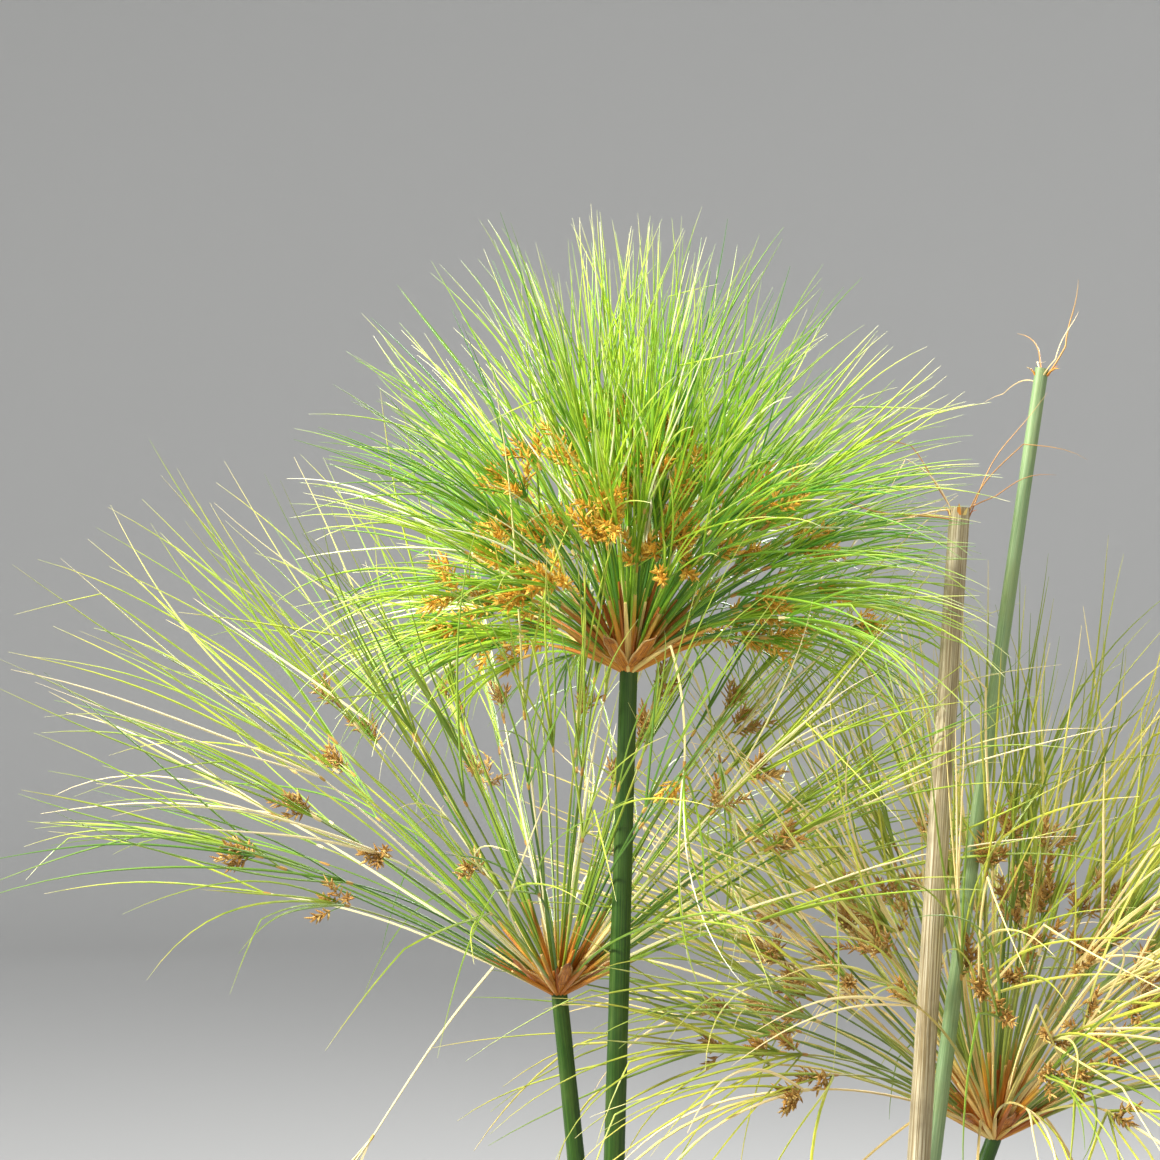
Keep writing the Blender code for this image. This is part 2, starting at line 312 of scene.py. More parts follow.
    def close(self, colour: Socket, roughness: Socket | float | None = None,
              normal: Socket | None = None) -> bpy.types.Material:
        """Wire the results into the shader.

        Args:
            colour: Base colour socket.
            roughness: Roughness socket, or None to keep the shader's own value.
            normal: Normal socket, or None.

        Returns:
            The finished material.
        """
        self.wire(colour, self.shader.inputs["Base Color"])
        if roughness is not None:
            self.wire(roughness, self.shader.inputs["Roughness"])
        if normal is not None:
            self.links.new(normal, self.shader.inputs["Normal"])
        return self.material


@dataclass(frozen=True)
class Finish:
    """What every finish has: its material's name and the slot that it fills."""

    name: str
    slot: str

    def make(self) -> bpy.types.Material:
        """Build the material, which each kind of finish does in its own way."""
        raise NotImplementedError


@dataclass(frozen=True)
class StrandFinish(Finish):
    """Skin of a thread-like ray: coloured from foot to tip, with its own tint and blotches; its
    shade colour on the darker strands and blotches is partly the strands' own darker green, partly
    painted shade.
    """

    foot: Colour
    body: Colour
    # darker green: partly the strands' own tone, partly painted shade
    shade: Colour
    tip: Colour
    straw: Colour
    straw_share: float
    roughness: float = 0.44

    @cache
    def make(self) -> bpy.types.Material:
        """Build the material.

        Returns:
            The material.
        """
        bench = Bench(self.name, self.roughness)
        along = bench.attribute("along")
        tint = bench.attribute("tint")
        run = bench.ramp(along, (0.0, self.foot), (0.30, self.body), (0.66, self.body),
                         (0.92, self.tip), (1.0, self.straw))
        shade_blotch = bench.cloud(bench.place(), 38.0, 5.0, 0.6)
        # Darker-tinted strands take the shade colour: partly their own darker green, partly painted
        # shade.
        fresh = bench.lay(self.shade, run, tint, 0.08, 0.82)
        # Blotches of the shade colour along the strands: partly the strands' own mottling, partly
        # painted shade.
        shade_blotched = bench.lay(fresh, self.shade, shade_blotch, 0.46, 0.68, 0.60)
        dry = bench.range(tint, 1.0 - self.straw_share, 1.0 - self.straw_share * 0.45)
        colour = bench.mix(dry, shade_blotched, self.straw)
        grain = bench.cloud(bench.place(), 260.0, 2.0)
        rough = bench.range(grain, 0.3, 0.7, self.roughness - 0.06, self.roughness + 0.12)
        return bench.close(colour, rough, bench.relief(grain, 0.00005))


@dataclass(frozen=True)
class CulmFinish(Finish):
    """Skin of a culm: fine lengthwise strands under a waxy bloom, darker or drier in patches."""

    body: Colour
    strand: Colour
    patch: Colour
    foot: Colour
    roughness: float
    coat: float
    fibre_depth: float

    @cache
    def make(self) -> bpy.types.Material:
        """Build the material.

        Returns:
            The material.
        """
        bench = Bench(self.name, self.roughness, 0.3, self.coat)
        skin = bench.attribute("skin", "Vector")
        along = bench.attribute("along")
        fibres = bench.cloud(bench.stretch(skin, (1.0, 1.0, 0.012)), 1100.0, 3.0)
        streaks = bench.cloud(bench.stretch(skin, (1.0, 1.0, 0.03)), 260.0, 4.0)
        patches = bench.cloud(skin, 22.0, 5.0, 0.6)
        flecks = bench.cells(bench.stretch(skin, (1.0, 1.0, 0.25)), 420.0)
        colour = bench.lay(self.body, self.strand, fibres, 0.42, 0.66)
        colour = bench.lay(colour, self.patch, streaks, 0.5, 0.74, 0.6)
        colour = bench.lay(colour, self.patch, patches, 0.5, 0.8, 0.7)
        colour = bench.lay(colour, self.foot, flecks, 0.10, 0.02, 0.5)
        colour = bench.lay(colour, self.foot, along, 0.28, 0.02, 0.85)
        rough = bench.range(patches, 0.3, 0.75, self.roughness - 0.08, self.roughness + 0.15)
        lines = bench.relief(fibres, self.fibre_depth)
        return bench.close(colour, rough, bench.relief(patches, 0.0012, lines))


@dataclass(frozen=True)
class PaperyFinish(Finish):
    """Dry sheath or bract: parallel veins, darker stains and pale scorched margins."""

    body: Colour
    vein: Colour
    margin: Colour
    stain: Colour
    veins: float = 9.0
    roughness: float = 0.62

    @cache
    def make(self) -> bpy.types.Material:
        """Build the material.

        Returns:
            The material.
        """
        bench = Bench(self.name, self.roughness, 0.35)
        skin = bench.attribute("skin", "Vector")
        along = bench.attribute("along")
        edge = bench.attribute("edge")
        lines = bench.cloud(bench.stretch(skin, (self.veins, 0.35, 1.0)), 2.6, 3.0, 0.6)
        fine = bench.cloud(bench.stretch(skin, (self.veins * 6.0, 0.8, 1.0)), 3.0, 2.0)
        stains = bench.cloud(bench.place(), 90.0, 5.0, 0.62)
        colour = bench.lay(self.body, self.vein, lines, 0.44, 0.60)
        colour = bench.lay(colour, self.stain, stains, 0.52, 0.70, 0.8)
        colour = bench.lay(colour, self.margin, fine, 0.55, 0.75, 0.5)
        colour = bench.lay(colour, self.margin, edge, 0.72, 1.0, 0.8)
        colour = bench.lay(colour, self.stain, along, 0.80, 1.0, 0.75)
        rough = bench.range(stains, 0.3, 0.7, self.roughness - 0.12, self.roughness + 0.18)
        return bench.close(colour, rough, bench.relief(fine, 0.0002, bench.relief(lines, 0.0006)))


@dataclass(frozen=True)
class SpikeletFinish(Finish):
    """Flower spikelet: overlapping golden scales with brown keels and pale edges."""

    scale: Colour
    keel: Colour
    edge: Colour

    @cache
    def make(self) -> bpy.types.Material:
        """Build the material.

        Returns:
            The material.
        """
        bench = Bench(self.name, 0.55, 0.4)
        along = bench.attribute("along")
        tint = bench.attribute("tint")
        wave = bench.nodes.new("ShaderNodeMath")
        wave.operation = "PINGPONG"
        bench.wire(along, wave.inputs[0])
        wave.inputs[1].default_value = 0.08
        bands = bench.range(wave.outputs["Value"], 0.0, 0.08)
        colour = bench.lay(self.keel, self.scale, bands, 0.35, 0.9)
        colour = bench.lay(colour, self.edge, tint, 0.3, 1.0, 0.8)
        dust = bench.cloud(bench.place(), 700.0, 3.0)
        colour = bench.lay(colour, self.keel, dust, 0.5, 0.75, 0.6)
        return bench.close(colour, bench.range(dust, 0.3, 0.7, 0.45, 0.7),
                           bench.relief(bands, 0.0002))


@dataclass(frozen=True)
class ClayFinish(Finish):
    """Fired clay: warm mottled body, fine grain, damp foot and pale mineral bloom."""

    body: Colour
    deep: Colour
    bloom: Colour
    damp: Colour
    height: float

    @cache
    def make(self) -> bpy.types.Material:
        """Build the material.

        Returns:
            The material.
        """
        bench = Bench(self.name, 0.82, 0.3)
        place = bench.place()
        split = bench.nodes.new("ShaderNodeSeparateXYZ")
        bench.wire(place, split.inputs["Vector"])
        level = bench.range(split.outputs["Z"], 0.0, self.height)
        mottle = bench.cloud(place, 9.0, 6.0, 0.6)
        grain = bench.cloud(place, 420.0, 3.0, 0.6)
        turning = bench.cloud(bench.stretch(place, (0.25, 0.25, 14.0)), 16.0, 3.0)
        drips = bench.cloud(bench.stretch(place, (1.0, 1.0, 0.18)), 26.0, 5.0, 0.65)
        pits = bench.cells(place, 310.0)
        colour = bench.lay(self.deep, self.body, mottle, 0.36, 0.68)
        colour = bench.lay(colour, self.deep, turning, 0.5, 0.72, 0.35)
        near_rim = bench.range(level, 0.55, 0.98, 0.0, 0.75)
        colour = bench.mix(bench.product(near_rim, bench.range(drips, 0.48, 0.66)),
                           colour, self.bloom)
        near_foot = bench.range(level, 0.24, 0.02, 0.0, 0.8)
        colour = bench.mix(bench.product(near_foot, bench.range(mottle, 0.3, 0.6)),
                           colour, self.damp)
        colour = bench.lay(colour, self.bloom, grain, 0.58, 0.75, 0.35)
        colour = bench.lay(colour, self.deep, pits, 0.12, 0.03, 0.6)
        rough = bench.range(mottle, 0.3, 0.7, 0.72, 0.95)
        body = bench.relief(turning, 0.0007)
        return bench.close(colour, rough, bench.relief(grain, 0.00035, body))


@dataclass(frozen=True)
class CrumbFinish(Finish):
    """Earthy matter: soil, crumbs, bark and root skin, each in its own two tones."""

    dark: Colour
    light: Colour
    fleck: Colour
    scale: float = 60.0
    depth: float = 0.0025

    @cache
    def make(self) -> bpy.types.Material:
        """Build the material.

        Returns:
            The material.
        """
        bench = Bench(self.name, 0.92, 0.2)
        place = bench.place()
        lumps = bench.cloud(place, self.scale, 8.0, 0.68)
        clods = bench.cells(place, self.scale * 3.0)
        dust = bench.cloud(place, self.scale * 12.0, 4.0, 0.65)
        colour = bench.lay(self.dark, self.light, lumps, 0.38, 0.66)
        colour = bench.lay(colour, self.fleck, dust, 0.60, 0.76, 0.65)
        colour = bench.lay(colour, self.dark, clods, 0.3, 0.05, 0.5)
        rough = bench.range(dust, 0.3, 0.7, 0.84, 1.0)
        coarse = bench.relief(lumps, self.depth)
        return bench.close(colour, rough, bench.relief(clods, self.depth * 0.35, coarse))


@dataclass(frozen=True)
class PithFinish(Finish):
    """Cut end of a culm: cream pith full of air channels, browned at the rind."""

    pith: Colour
    pore: Colour
    rind: Colour

    @cache
    def make(self) -> bpy.types.Material:
        """Build the material.

        Returns:
            The material.
        """
        bench = Bench(self.name, 0.8, 0.25)
        place = bench.place()
        pores = bench.cells(place, 1500.0)
        stain = bench.cloud(place, 260.0, 4.0)
        colour = bench.lay(self.pith, self.pore, pores, 0.42, 0.16)
        colour = bench.lay(colour, self.rind, stain, 0.5, 0.75, 0.6)
        return bench.close(colour, 0.85, bench.relief(pores, 0.0003))


@dataclass(frozen=True)
class StudioFinish:
    """Plain pale floor that runs up into the surround, paler where less light falls."""

    name: str
    near: Colour
    far: Colour

    @cache
    def make(self) -> bpy.types.Material:
        """Build the material.

        Returns:
            The material.
        """
        bench = Bench(self.name, 0.9, 0.1)
        reach = bench.nodes.new("ShaderNodeVectorMath")
        reach.operation = "LENGTH"
        bench.wire(bench.place(), reach.inputs[0])
        share = bench.range(reach.outputs["Value"], 1.4, 6.6)
        return bench.close(bench.mix(share, self.near, self.far))


RAY_FRESH = StrandFinish("ray_fresh", "ray_green", foot=(0.52, 0.30, 0.03),
                         body=(0.24, 0.43, 0.016), shade=(0.050, 0.170, 0.006),
                         tip=(0.38, 0.52, 0.03), straw=(0.70, 0.60, 0.26), straw_share=0.06)
THREAD_FRESH = StrandFinish("thread_fresh", "ray_green", foot=(0.26, 0.46, 0.016),
                            body=(0.46, 0.62, 0.030), shade=(0.060, 0.230, 0.008),
                            tip=(0.74, 0.74, 0.20), straw=(0.86, 0.82, 0.54), straw_share=0.17)
RAY_RIPE = StrandFinish("ray_ripe", "ray_green", foot=(0.44, 0.27, 0.03),
                        body=(0.30, 0.40, 0.022), shade=(0.060, 0.150, 0.010),
                        tip=(0.44, 0.42, 0.04), straw=(0.74, 0.66, 0.36), straw_share=0.20)
THREAD_RIPE = StrandFinish("thread_ripe", "ray_green", foot=(0.34, 0.38, 0.024),
                           body=(0.50, 0.56, 0.045), shade=(0.090, 0.220, 0.014),
                           tip=(0.66, 0.54, 0.12), straw=(0.80, 0.68, 0.38), straw_share=0.30)
RAY_OLD = StrandFinish("ray_old", "ray_olive", foot=(0.46, 0.26, 0.04), body=(0.36, 0.38, 0.045),
                       shade=(0.11, 0.17, 0.020), tip=(0.54, 0.42, 0.08),
                       straw=(0.66, 0.48, 0.17), straw_share=0.30)
THREAD_OLD = StrandFinish("thread_old", "ray_olive", foot=(0.34, 0.33, 0.04),
                          body=(0.66, 0.60, 0.060), shade=(0.16, 0.26, 0.02),
                          tip=(0.78, 0.58, 0.14), straw=(0.84, 0.66, 0.32), straw_share=0.38)
THREAD_DRY = StrandFinish("thread_dry", "ray_dry", foot=(0.46, 0.20, 0.04),
                          body=(0.66, 0.38, 0.10), shade=(0.32, 0.15, 0.04),
                          tip=(0.70, 0.50, 0.20), straw=(0.76, 0.58, 0.30), straw_share=0.5,
                          roughness=0.6)
RAY_SLEEVE = StrandFinish("ray_sleeve", "bract", foot=(0.66, 0.22, 0.018), body=(0.68, 0.34, 0.028),
                          shade=(0.38, 0.110, 0.012), tip=(0.52, 0.46, 0.05),
                          straw=(0.78, 0.58, 0.20), straw_share=0.3, roughness=0.5)
JOINT_SLEEVE = StrandFinish("joint_sleeve", "bract", foot=(0.42, 0.24, 0.030),
                            body=(0.58, 0.38, 0.060), shade=(0.34, 0.17, 0.025),
                            tip=(0.62, 0.50, 0.12), straw=(0.74, 0.60, 0.28), straw_share=0.3,
                            roughness=0.55)
# Very dark green culm skin: partly the culm's own colour, partly painted shade, as under an umbel.
CULM_GREEN = CulmFinish("culm_green", "culm_green", body=(0.016, 0.052, 0.004),
                        strand=(0.040, 0.100, 0.009), patch=(0.075, 0.120, 0.016),
                        foot=(0.085, 0.062, 0.018), roughness=0.42, coat=0.0,
                        fibre_depth=0.00035)
CULM_PALE = CulmFinish("culm_pale", "culm_pale", body=(0.150, 0.240, 0.095),
                       strand=(0.300, 0.400, 0.200), patch=(0.250, 0.300, 0.110),
                       foot=(0.210, 0.160, 0.050), roughness=0.42, coat=0.15,
                       fibre_depth=0.00030)
CULM_DRY = CulmFinish("culm_dry", "culm_dry", body=(0.270, 0.200, 0.090),
                      strand=(0.690, 0.610, 0.410), patch=(0.110, 0.076, 0.034),
                      foot=(0.130, 0.070, 0.032), roughness=0.70, coat=0.0,
                      fibre_depth=0.00080)
SHEATH_BROWN = PaperyFinish("sheath_brown", "sheath", body=(0.260, 0.110, 0.032),
                            vein=(0.105, 0.040, 0.016), margin=(0.500, 0.320, 0.140),
                            stain=(0.065, 0.030, 0.015))
SHEATH_GREEN = PaperyFinish("sheath_green", "sheath", body=(0.160, 0.180, 0.040),
                            vein=(0.240, 0.125, 0.035), margin=(0.430, 0.290, 0.110),
                            stain=(0.220, 0.085, 0.025))
# Bract colours are paler than the bracts' own orange-brown: painted light, making up for the shade
# under the umbel.
BRACT_BROWN = PaperyFinish("bract_brown", "bract", body=(0.740, 0.280, 0.022),
                           vein=(0.300, 0.060, 0.010), margin=(0.860, 0.640, 0.280),
                           stain=(0.160, 0.030, 0.010), veins=8.0, roughness=0.40)
SPIKELET_GOLD = SpikeletFinish("spikelet_gold", "bract", scale=(0.82, 0.46, 0.030),
                               keel=(0.56, 0.240, 0.018), edge=(0.88, 0.66, 0.12))
SPIKELET_BROWN = SpikeletFinish("spikelet_brown", "bract", scale=(0.54, 0.30, 0.05),
                                keel=(0.27, 0.120, 0.025), edge=(0.64, 0.45, 0.13))
CLAY = ClayFinish("fired_clay", "clay", body=(0.50, 0.205, 0.100), deep=(0.35, 0.125, 0.060),
                  bloom=(0.68, 0.50, 0.38), damp=(0.19, 0.085, 0.050), height=0.32)
EARTH = CrumbFinish("earth", "earth", dark=(0.018, 0.011, 0.007), light=(0.075, 0.045, 0.025),
                    fleck=(0.170, 0.115, 0.065))
CRUMB = CrumbFinish("crumb", "earth", dark=(0.025, 0.015, 0.009), light=(0.110, 0.064, 0.034),
                    fleck=(0.240, 0.170, 0.100), scale=180.0, depth=0.0008)
ROOT_SKIN = CrumbFinish("root_skin", "root", dark=(0.036, 0.016, 0.009),
                        light=(0.150, 0.066, 0.028), fleck=(0.300, 0.170, 0.080), scale=120.0,
                        depth=0.0018)
ROOT_FIBRE = StrandFinish("root_fibre", "root", foot=(0.16, 0.075, 0.030),
                          body=(0.26, 0.140, 0.060), shade=(0.080, 0.036, 0.016),
                          tip=(0.20, 0.110, 0.050), straw=(0.42, 0.280, 0.140),
                          straw_share=0.15, roughness=0.8)
PITH_FRESH = PithFinish("pith_fresh", "culm_pale", pith=(0.72, 0.68, 0.48),
                        pore=(0.42, 0.38, 0.20), rind=(0.52, 0.40, 0.18))
PITH_DRY = PithFinish("pith_dry", "culm_dry", pith=(0.60, 0.46, 0.28), pore=(0.26, 0.16, 0.08),
                      rind=(0.32, 0.20, 0.10))
STUDIO = StudioFinish("studio_floor", near=(0.31, 0.31, 0.303), far=(0.60, 0.60, 0.59))


# --- Shared geometry -----------------------------------------------------------------------


def show(mesh: bpy.types.Mesh, name: str, finish: Finish, replaces: tuple[str, ...] = (),
         smooth_angle: float = 50.0) -> bpy.types.Object:
    """Make a dressed piece that rides with the plant.

    Args:
        mesh: The piece's mesh, in place.
        name: The piece's name.
        finish: Finish whose material it takes.
        replaces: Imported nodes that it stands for.
        smooth_angle: Edges sharper than this, in degrees, stay sharp.

    Returns:
        The new object.
    """
    mesh.name = name
    mesh.shade_smooth()
    mesh.set_sharp_from_angle(angle=math.radians(smooth_angle))
    piece = bpy.data.objects.new(name, mesh)
    bpy.context.scene.collection.objects.link(piece)
    if not mesh.materials:
        mesh.materials.append(finish.make())
    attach(piece, "root")
    if replaces:
        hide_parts(*replaces)
    log.info("%s: %d faces", name, len(mesh.polygons))
    return piece


def to_mesh(bm: bmesh.types.BMesh, name: str) -> bpy.types.Mesh:
    """Turn a bmesh into a mesh and free it.

    Args:
        bm: The bmesh, which can't be used afterwards.
        name: The mesh's name.

    Returns:
        The mesh.
    """
    mesh = bpy.data.meshes.new(name)
    bm.to_mesh(mesh)
    bm.free()
    return mesh


def turned(outline: list[Range], steps: int, merge: float) -> bmesh.types.BMesh:
    """Spin an outline round the Z axis.

    Args:
        outline: Radius and height of each point, from the centre of the underside on.
        steps: Steps in the full turn.
        merge: Points closer than this become one.

    Returns:
        A bmesh whose faces point out of the solid.
    """
    bm = bmesh.new()
    points = [bm.verts.new((radius, 0.0, height)) for radius, height in outline]
    for first, second in zip(points, points[1:]):
        bm.edges.new((first, second))
    bmesh.ops.spin(bm, geom=bm.verts[:] + bm.edges[:], axis=(0, 0, 1), cent=(0, 0, 0),
                   angle=math.tau, steps=steps, use_merge=True)
    bmesh.ops.remove_doubles(bm, verts=bm.verts, dist=merge)
    bmesh.ops.recalc_face_normals(bm, faces=bm.faces)
    return bm


def thicken(piece: bpy.types.Object, wall: float) -> None:
    """Give a piece made of single sheets its wall, half to each side.

    Args:
        piece: The piece.
        wall: Thickness of the wall.
    """
    solid = piece.modifiers.new("thickness", "SOLIDIFY")
    solid.thickness = wall
    solid.offset = 0.0


def joined_copies(template: bpy.types.Mesh, count: int, name: str) -> bpy.types.Mesh:
    """Join copies of a template mesh in one mesh, one after another.

    Args:
        template: The mesh to repeat.
        count: How many copies to join.
        name: The new mesh's name.

    Returns:
        The joined mesh, with every copy still in the template's place.
    """
    bm = bmesh.new()
    for _ in range(count):
        bm.from_mesh(template)
    return to_mesh(bm, name)


def places_of(mesh: bpy.types.Mesh) -> np.ndarray:
    """Read where a mesh's vertices are.

    Args:
        mesh: The mesh.

    Returns:
        One row of coordinates for each vertex.
    """
    flat = np.empty(len(mesh.vertices) * 3)
    mesh.vertices.foreach_get("co", flat)
    return flat.reshape(-1, 3)


def set_places(mesh: bpy.types.Mesh, places: np.ndarray) -> None:
    """Write vertex positions back to a mesh."""
    mesh.vertices.foreach_set("co", np.ascontiguousarray(places, dtype=np.float64).ravel())
    mesh.update()


def carry(mesh: bpy.types.Mesh, name: str, values: np.ndarray) -> None:
    """Store values on a mesh's vertices for a finish to read.

    Args:
        mesh: The mesh.
        name: Name of the attribute.
        values: One number or one row of three for each vertex.
    """
    kind, key = ("FLOAT_VECTOR", "vector") if values.ndim == 2 else ("FLOAT", "value")
    layer = mesh.attributes.new(name, kind, "POINT")
    layer.data.foreach_set(key, np.ascontiguousarray(values, dtype=np.float32).ravel())


def tube_template(sides: int, steps: int, capped: bool = True) -> bpy.types.Mesh:
    """Unit tube along +Z with rings at even heights.

    Args:
        sides: Vertices in each ring.
        steps: Bands from foot to tip.
        capped: Whether both ends are closed.

    Returns:
        A mesh with radius 1 and height 1.
    """
    bm = bmesh.new()
    bmesh.ops.create_cone(bm, cap_ends=capped, segments=sides, radius1=1.0, radius2=1.0,
                          depth=1.0, matrix=Matrix.Translation((0.0, 0.0, 0.5)))
    lengthwise = [edge for edge in bm.edges
                  if abs(edge.verts[0].co.z - edge.verts[1].co.z) > 0.5]
    bmesh.ops.subdivide_edges(bm, edges=lengthwise, cuts=steps - 1)
    return to_mesh(bm, "template")


def unit(vectors: np.ndarray) -> np.ndarray:
    """Vectors scaled to length 1."""
    return vectors / np.maximum(np.linalg.norm(vectors, axis=-1, keepdims=True), 1e-9)


def headings(tilt: np.ndarray, azimuth: np.ndarray) -> np.ndarray:
    """Unit directions from a tilt off straight up and an azimuth."""
    return np.stack([np.sin(tilt) * np.cos(azimuth), np.sin(tilt) * np.sin(azimuth),
                     np.cos(tilt)], axis=-1)


def angles_of(directions: np.ndarray) -> tuple[np.ndarray, np.ndarray]:
    """Tilt off straight up and azimuth of unit directions."""
    return (np.arccos(np.clip(directions[..., 2], -1.0, 1.0)),
            np.arctan2(directions[..., 1], directions[..., 0]))


def spread(directions: np.ndarray, lean: np.ndarray, turn: np.ndarray) -> np.ndarray:
    """Lean each direction away from itself, towards a turn round it.

    Args:
        directions: Unit directions.
        lean: Angle to lean by.
        turn: Angle round the direction.

    Returns:
        The new unit directions.
    """
    helper = np.where(np.abs(directions[:, 2:3]) < 0.9, UP, (1.0, 0.0, 0.0))
    first = unit(np.cross(directions, helper))
    second = np.cross(directions, first)
    sideways = first * np.cos(turn)[:, None] + second * np.sin(turn)[:, None]
    return directions * np.cos(lean)[:, None] + sideways * np.sin(lean)[:, None]


class StemLine:
    """Centre line and radius of a packed stem, read from the rings of its solid."""

    def __init__(self, node: str) -> None:
        """Fit the line.

        Args:
            node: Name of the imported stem.
        """
        places = np.unique(np.round(places_of(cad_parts[node].data), 6), axis=0)
        places = places[np.argsort(places[:, 2])]
        steps = np.flatnonzero(np.diff(places[:, 2]) > 0.5 * np.diff(places[:, 2]).max()) + 1
        rings = [ring for ring in np.split(places, steps) if len(ring) > 5]
        centres = np.array([ring.mean(axis=0) for ring in rings])
        radii = [np.linalg.norm(ring - centre, axis=1).mean()
                 for ring, centre in zip(rings, centres)]
        self.low, self.high = centres[0, 2], centres[-1, 2]
        self.x_fit = np.polyfit(centres[:, 2], centres[:, 0], 2)
        self.y_fit = np.polyfit(centres[:, 2], centres[:, 1], 2)
        self.radius_fit = np.polyfit(centres[:, 2], radii, 1)

    def centre(self, height: np.ndarray) -> np.ndarray:
        """Centre points at heights."""
        return np.stack([np.polyval(self.x_fit, height), np.polyval(self.y_fit, height),
                         np.asarray(height, dtype=float)], axis=-1)

    def radius(self, height: np.ndarray) -> np.ndarray:
        """Radii at heights."""
        return np.polyval(self.radius_fit, height)

    def head(self) -> np.ndarray:
        """Centre of the stem's top."""
        return self.centre(np.array(self.high))

    def wrap(self, heights: np.ndarray, angles: np.ndarray, radii: np.ndarray) -> np.ndarray:
        """Points round the stem.

        Args:
            heights: Height of each point.
            angles: Angle of each point round the stem.
            radii: Distance of each point from the centre line.

        Returns:
            One row for each point.
        """
        slope = np.stack([np.polyval(np.polyder(self.x_fit), heights),
                          np.polyval(np.polyder(self.y_fit), heights)], axis=-1)
        points = self.centre(heights)
        across = np.stack([np.cos(angles), np.sin(angles)], axis=-1) * radii[..., None]
        points[..., :2] += across
        points[..., 2] -= (across * slope).sum(axis=-1)
        return points


LIVING = ("main", "rear", "side")
SPENT = ("cut_green", "cut_dry")
SHOOTS = ("shoot_tall", "shoot_short")
STEMS = {stem: StemLine(f"culm_{stem}") for stem in LIVING + SPENT + SHOOTS}


class Profile(Enum):
    """How a strand's thickness changes from foot to tip."""

    RAY = "ray"
    TAPER = "taper"
    SPINDLE = "spindle"
    SLEEVE = "sleeve"

    def thickness(self, along: np.ndarray) -> np.ndarray:
        """Thickness along the strand.

        Args:
            along: Places from 0 at the foot to 1 at the tip.

        Returns:
            Share of the full radius at each place.
        """
        if self is Profile.RAY:
            return 1.0 - 0.38 * along ** 2
        if self is Profile.SPINDLE:
            return np.sin(np.pi * (0.10 + 0.87 * along) ** 0.8) ** 0.8 + 0.02
        if self is Profile.SLEEVE:
            return 1.0 + 0.22 * np.sin(np.pi * along) - 0.28 * along ** 2
        return 1.0 - 0.86 * along ** 2.4


@dataclass(frozen=True)
class Shape:
    """Cross-section and resolution of a kind of strand."""

    sides: int
    steps: int
    profile: Profile
    flatness: float = 1.0


RAY_SHAPE = Shape(5, 14, Profile.RAY)
THREAD_SHAPE = Shape(4, 12, Profile.TAPER)
RACHIS_SHAPE = Shape(3, 3, Profile.TAPER)
SPIKELET_SHAPE = Shape(4, 3, Profile.SPINDLE, 0.75)
SLEEVE_SHAPE = Shape(6, 4, Profile.SLEEVE)
SPLINTER_SHAPE = Shape(3, 3, Profile.TAPER, 0.45)


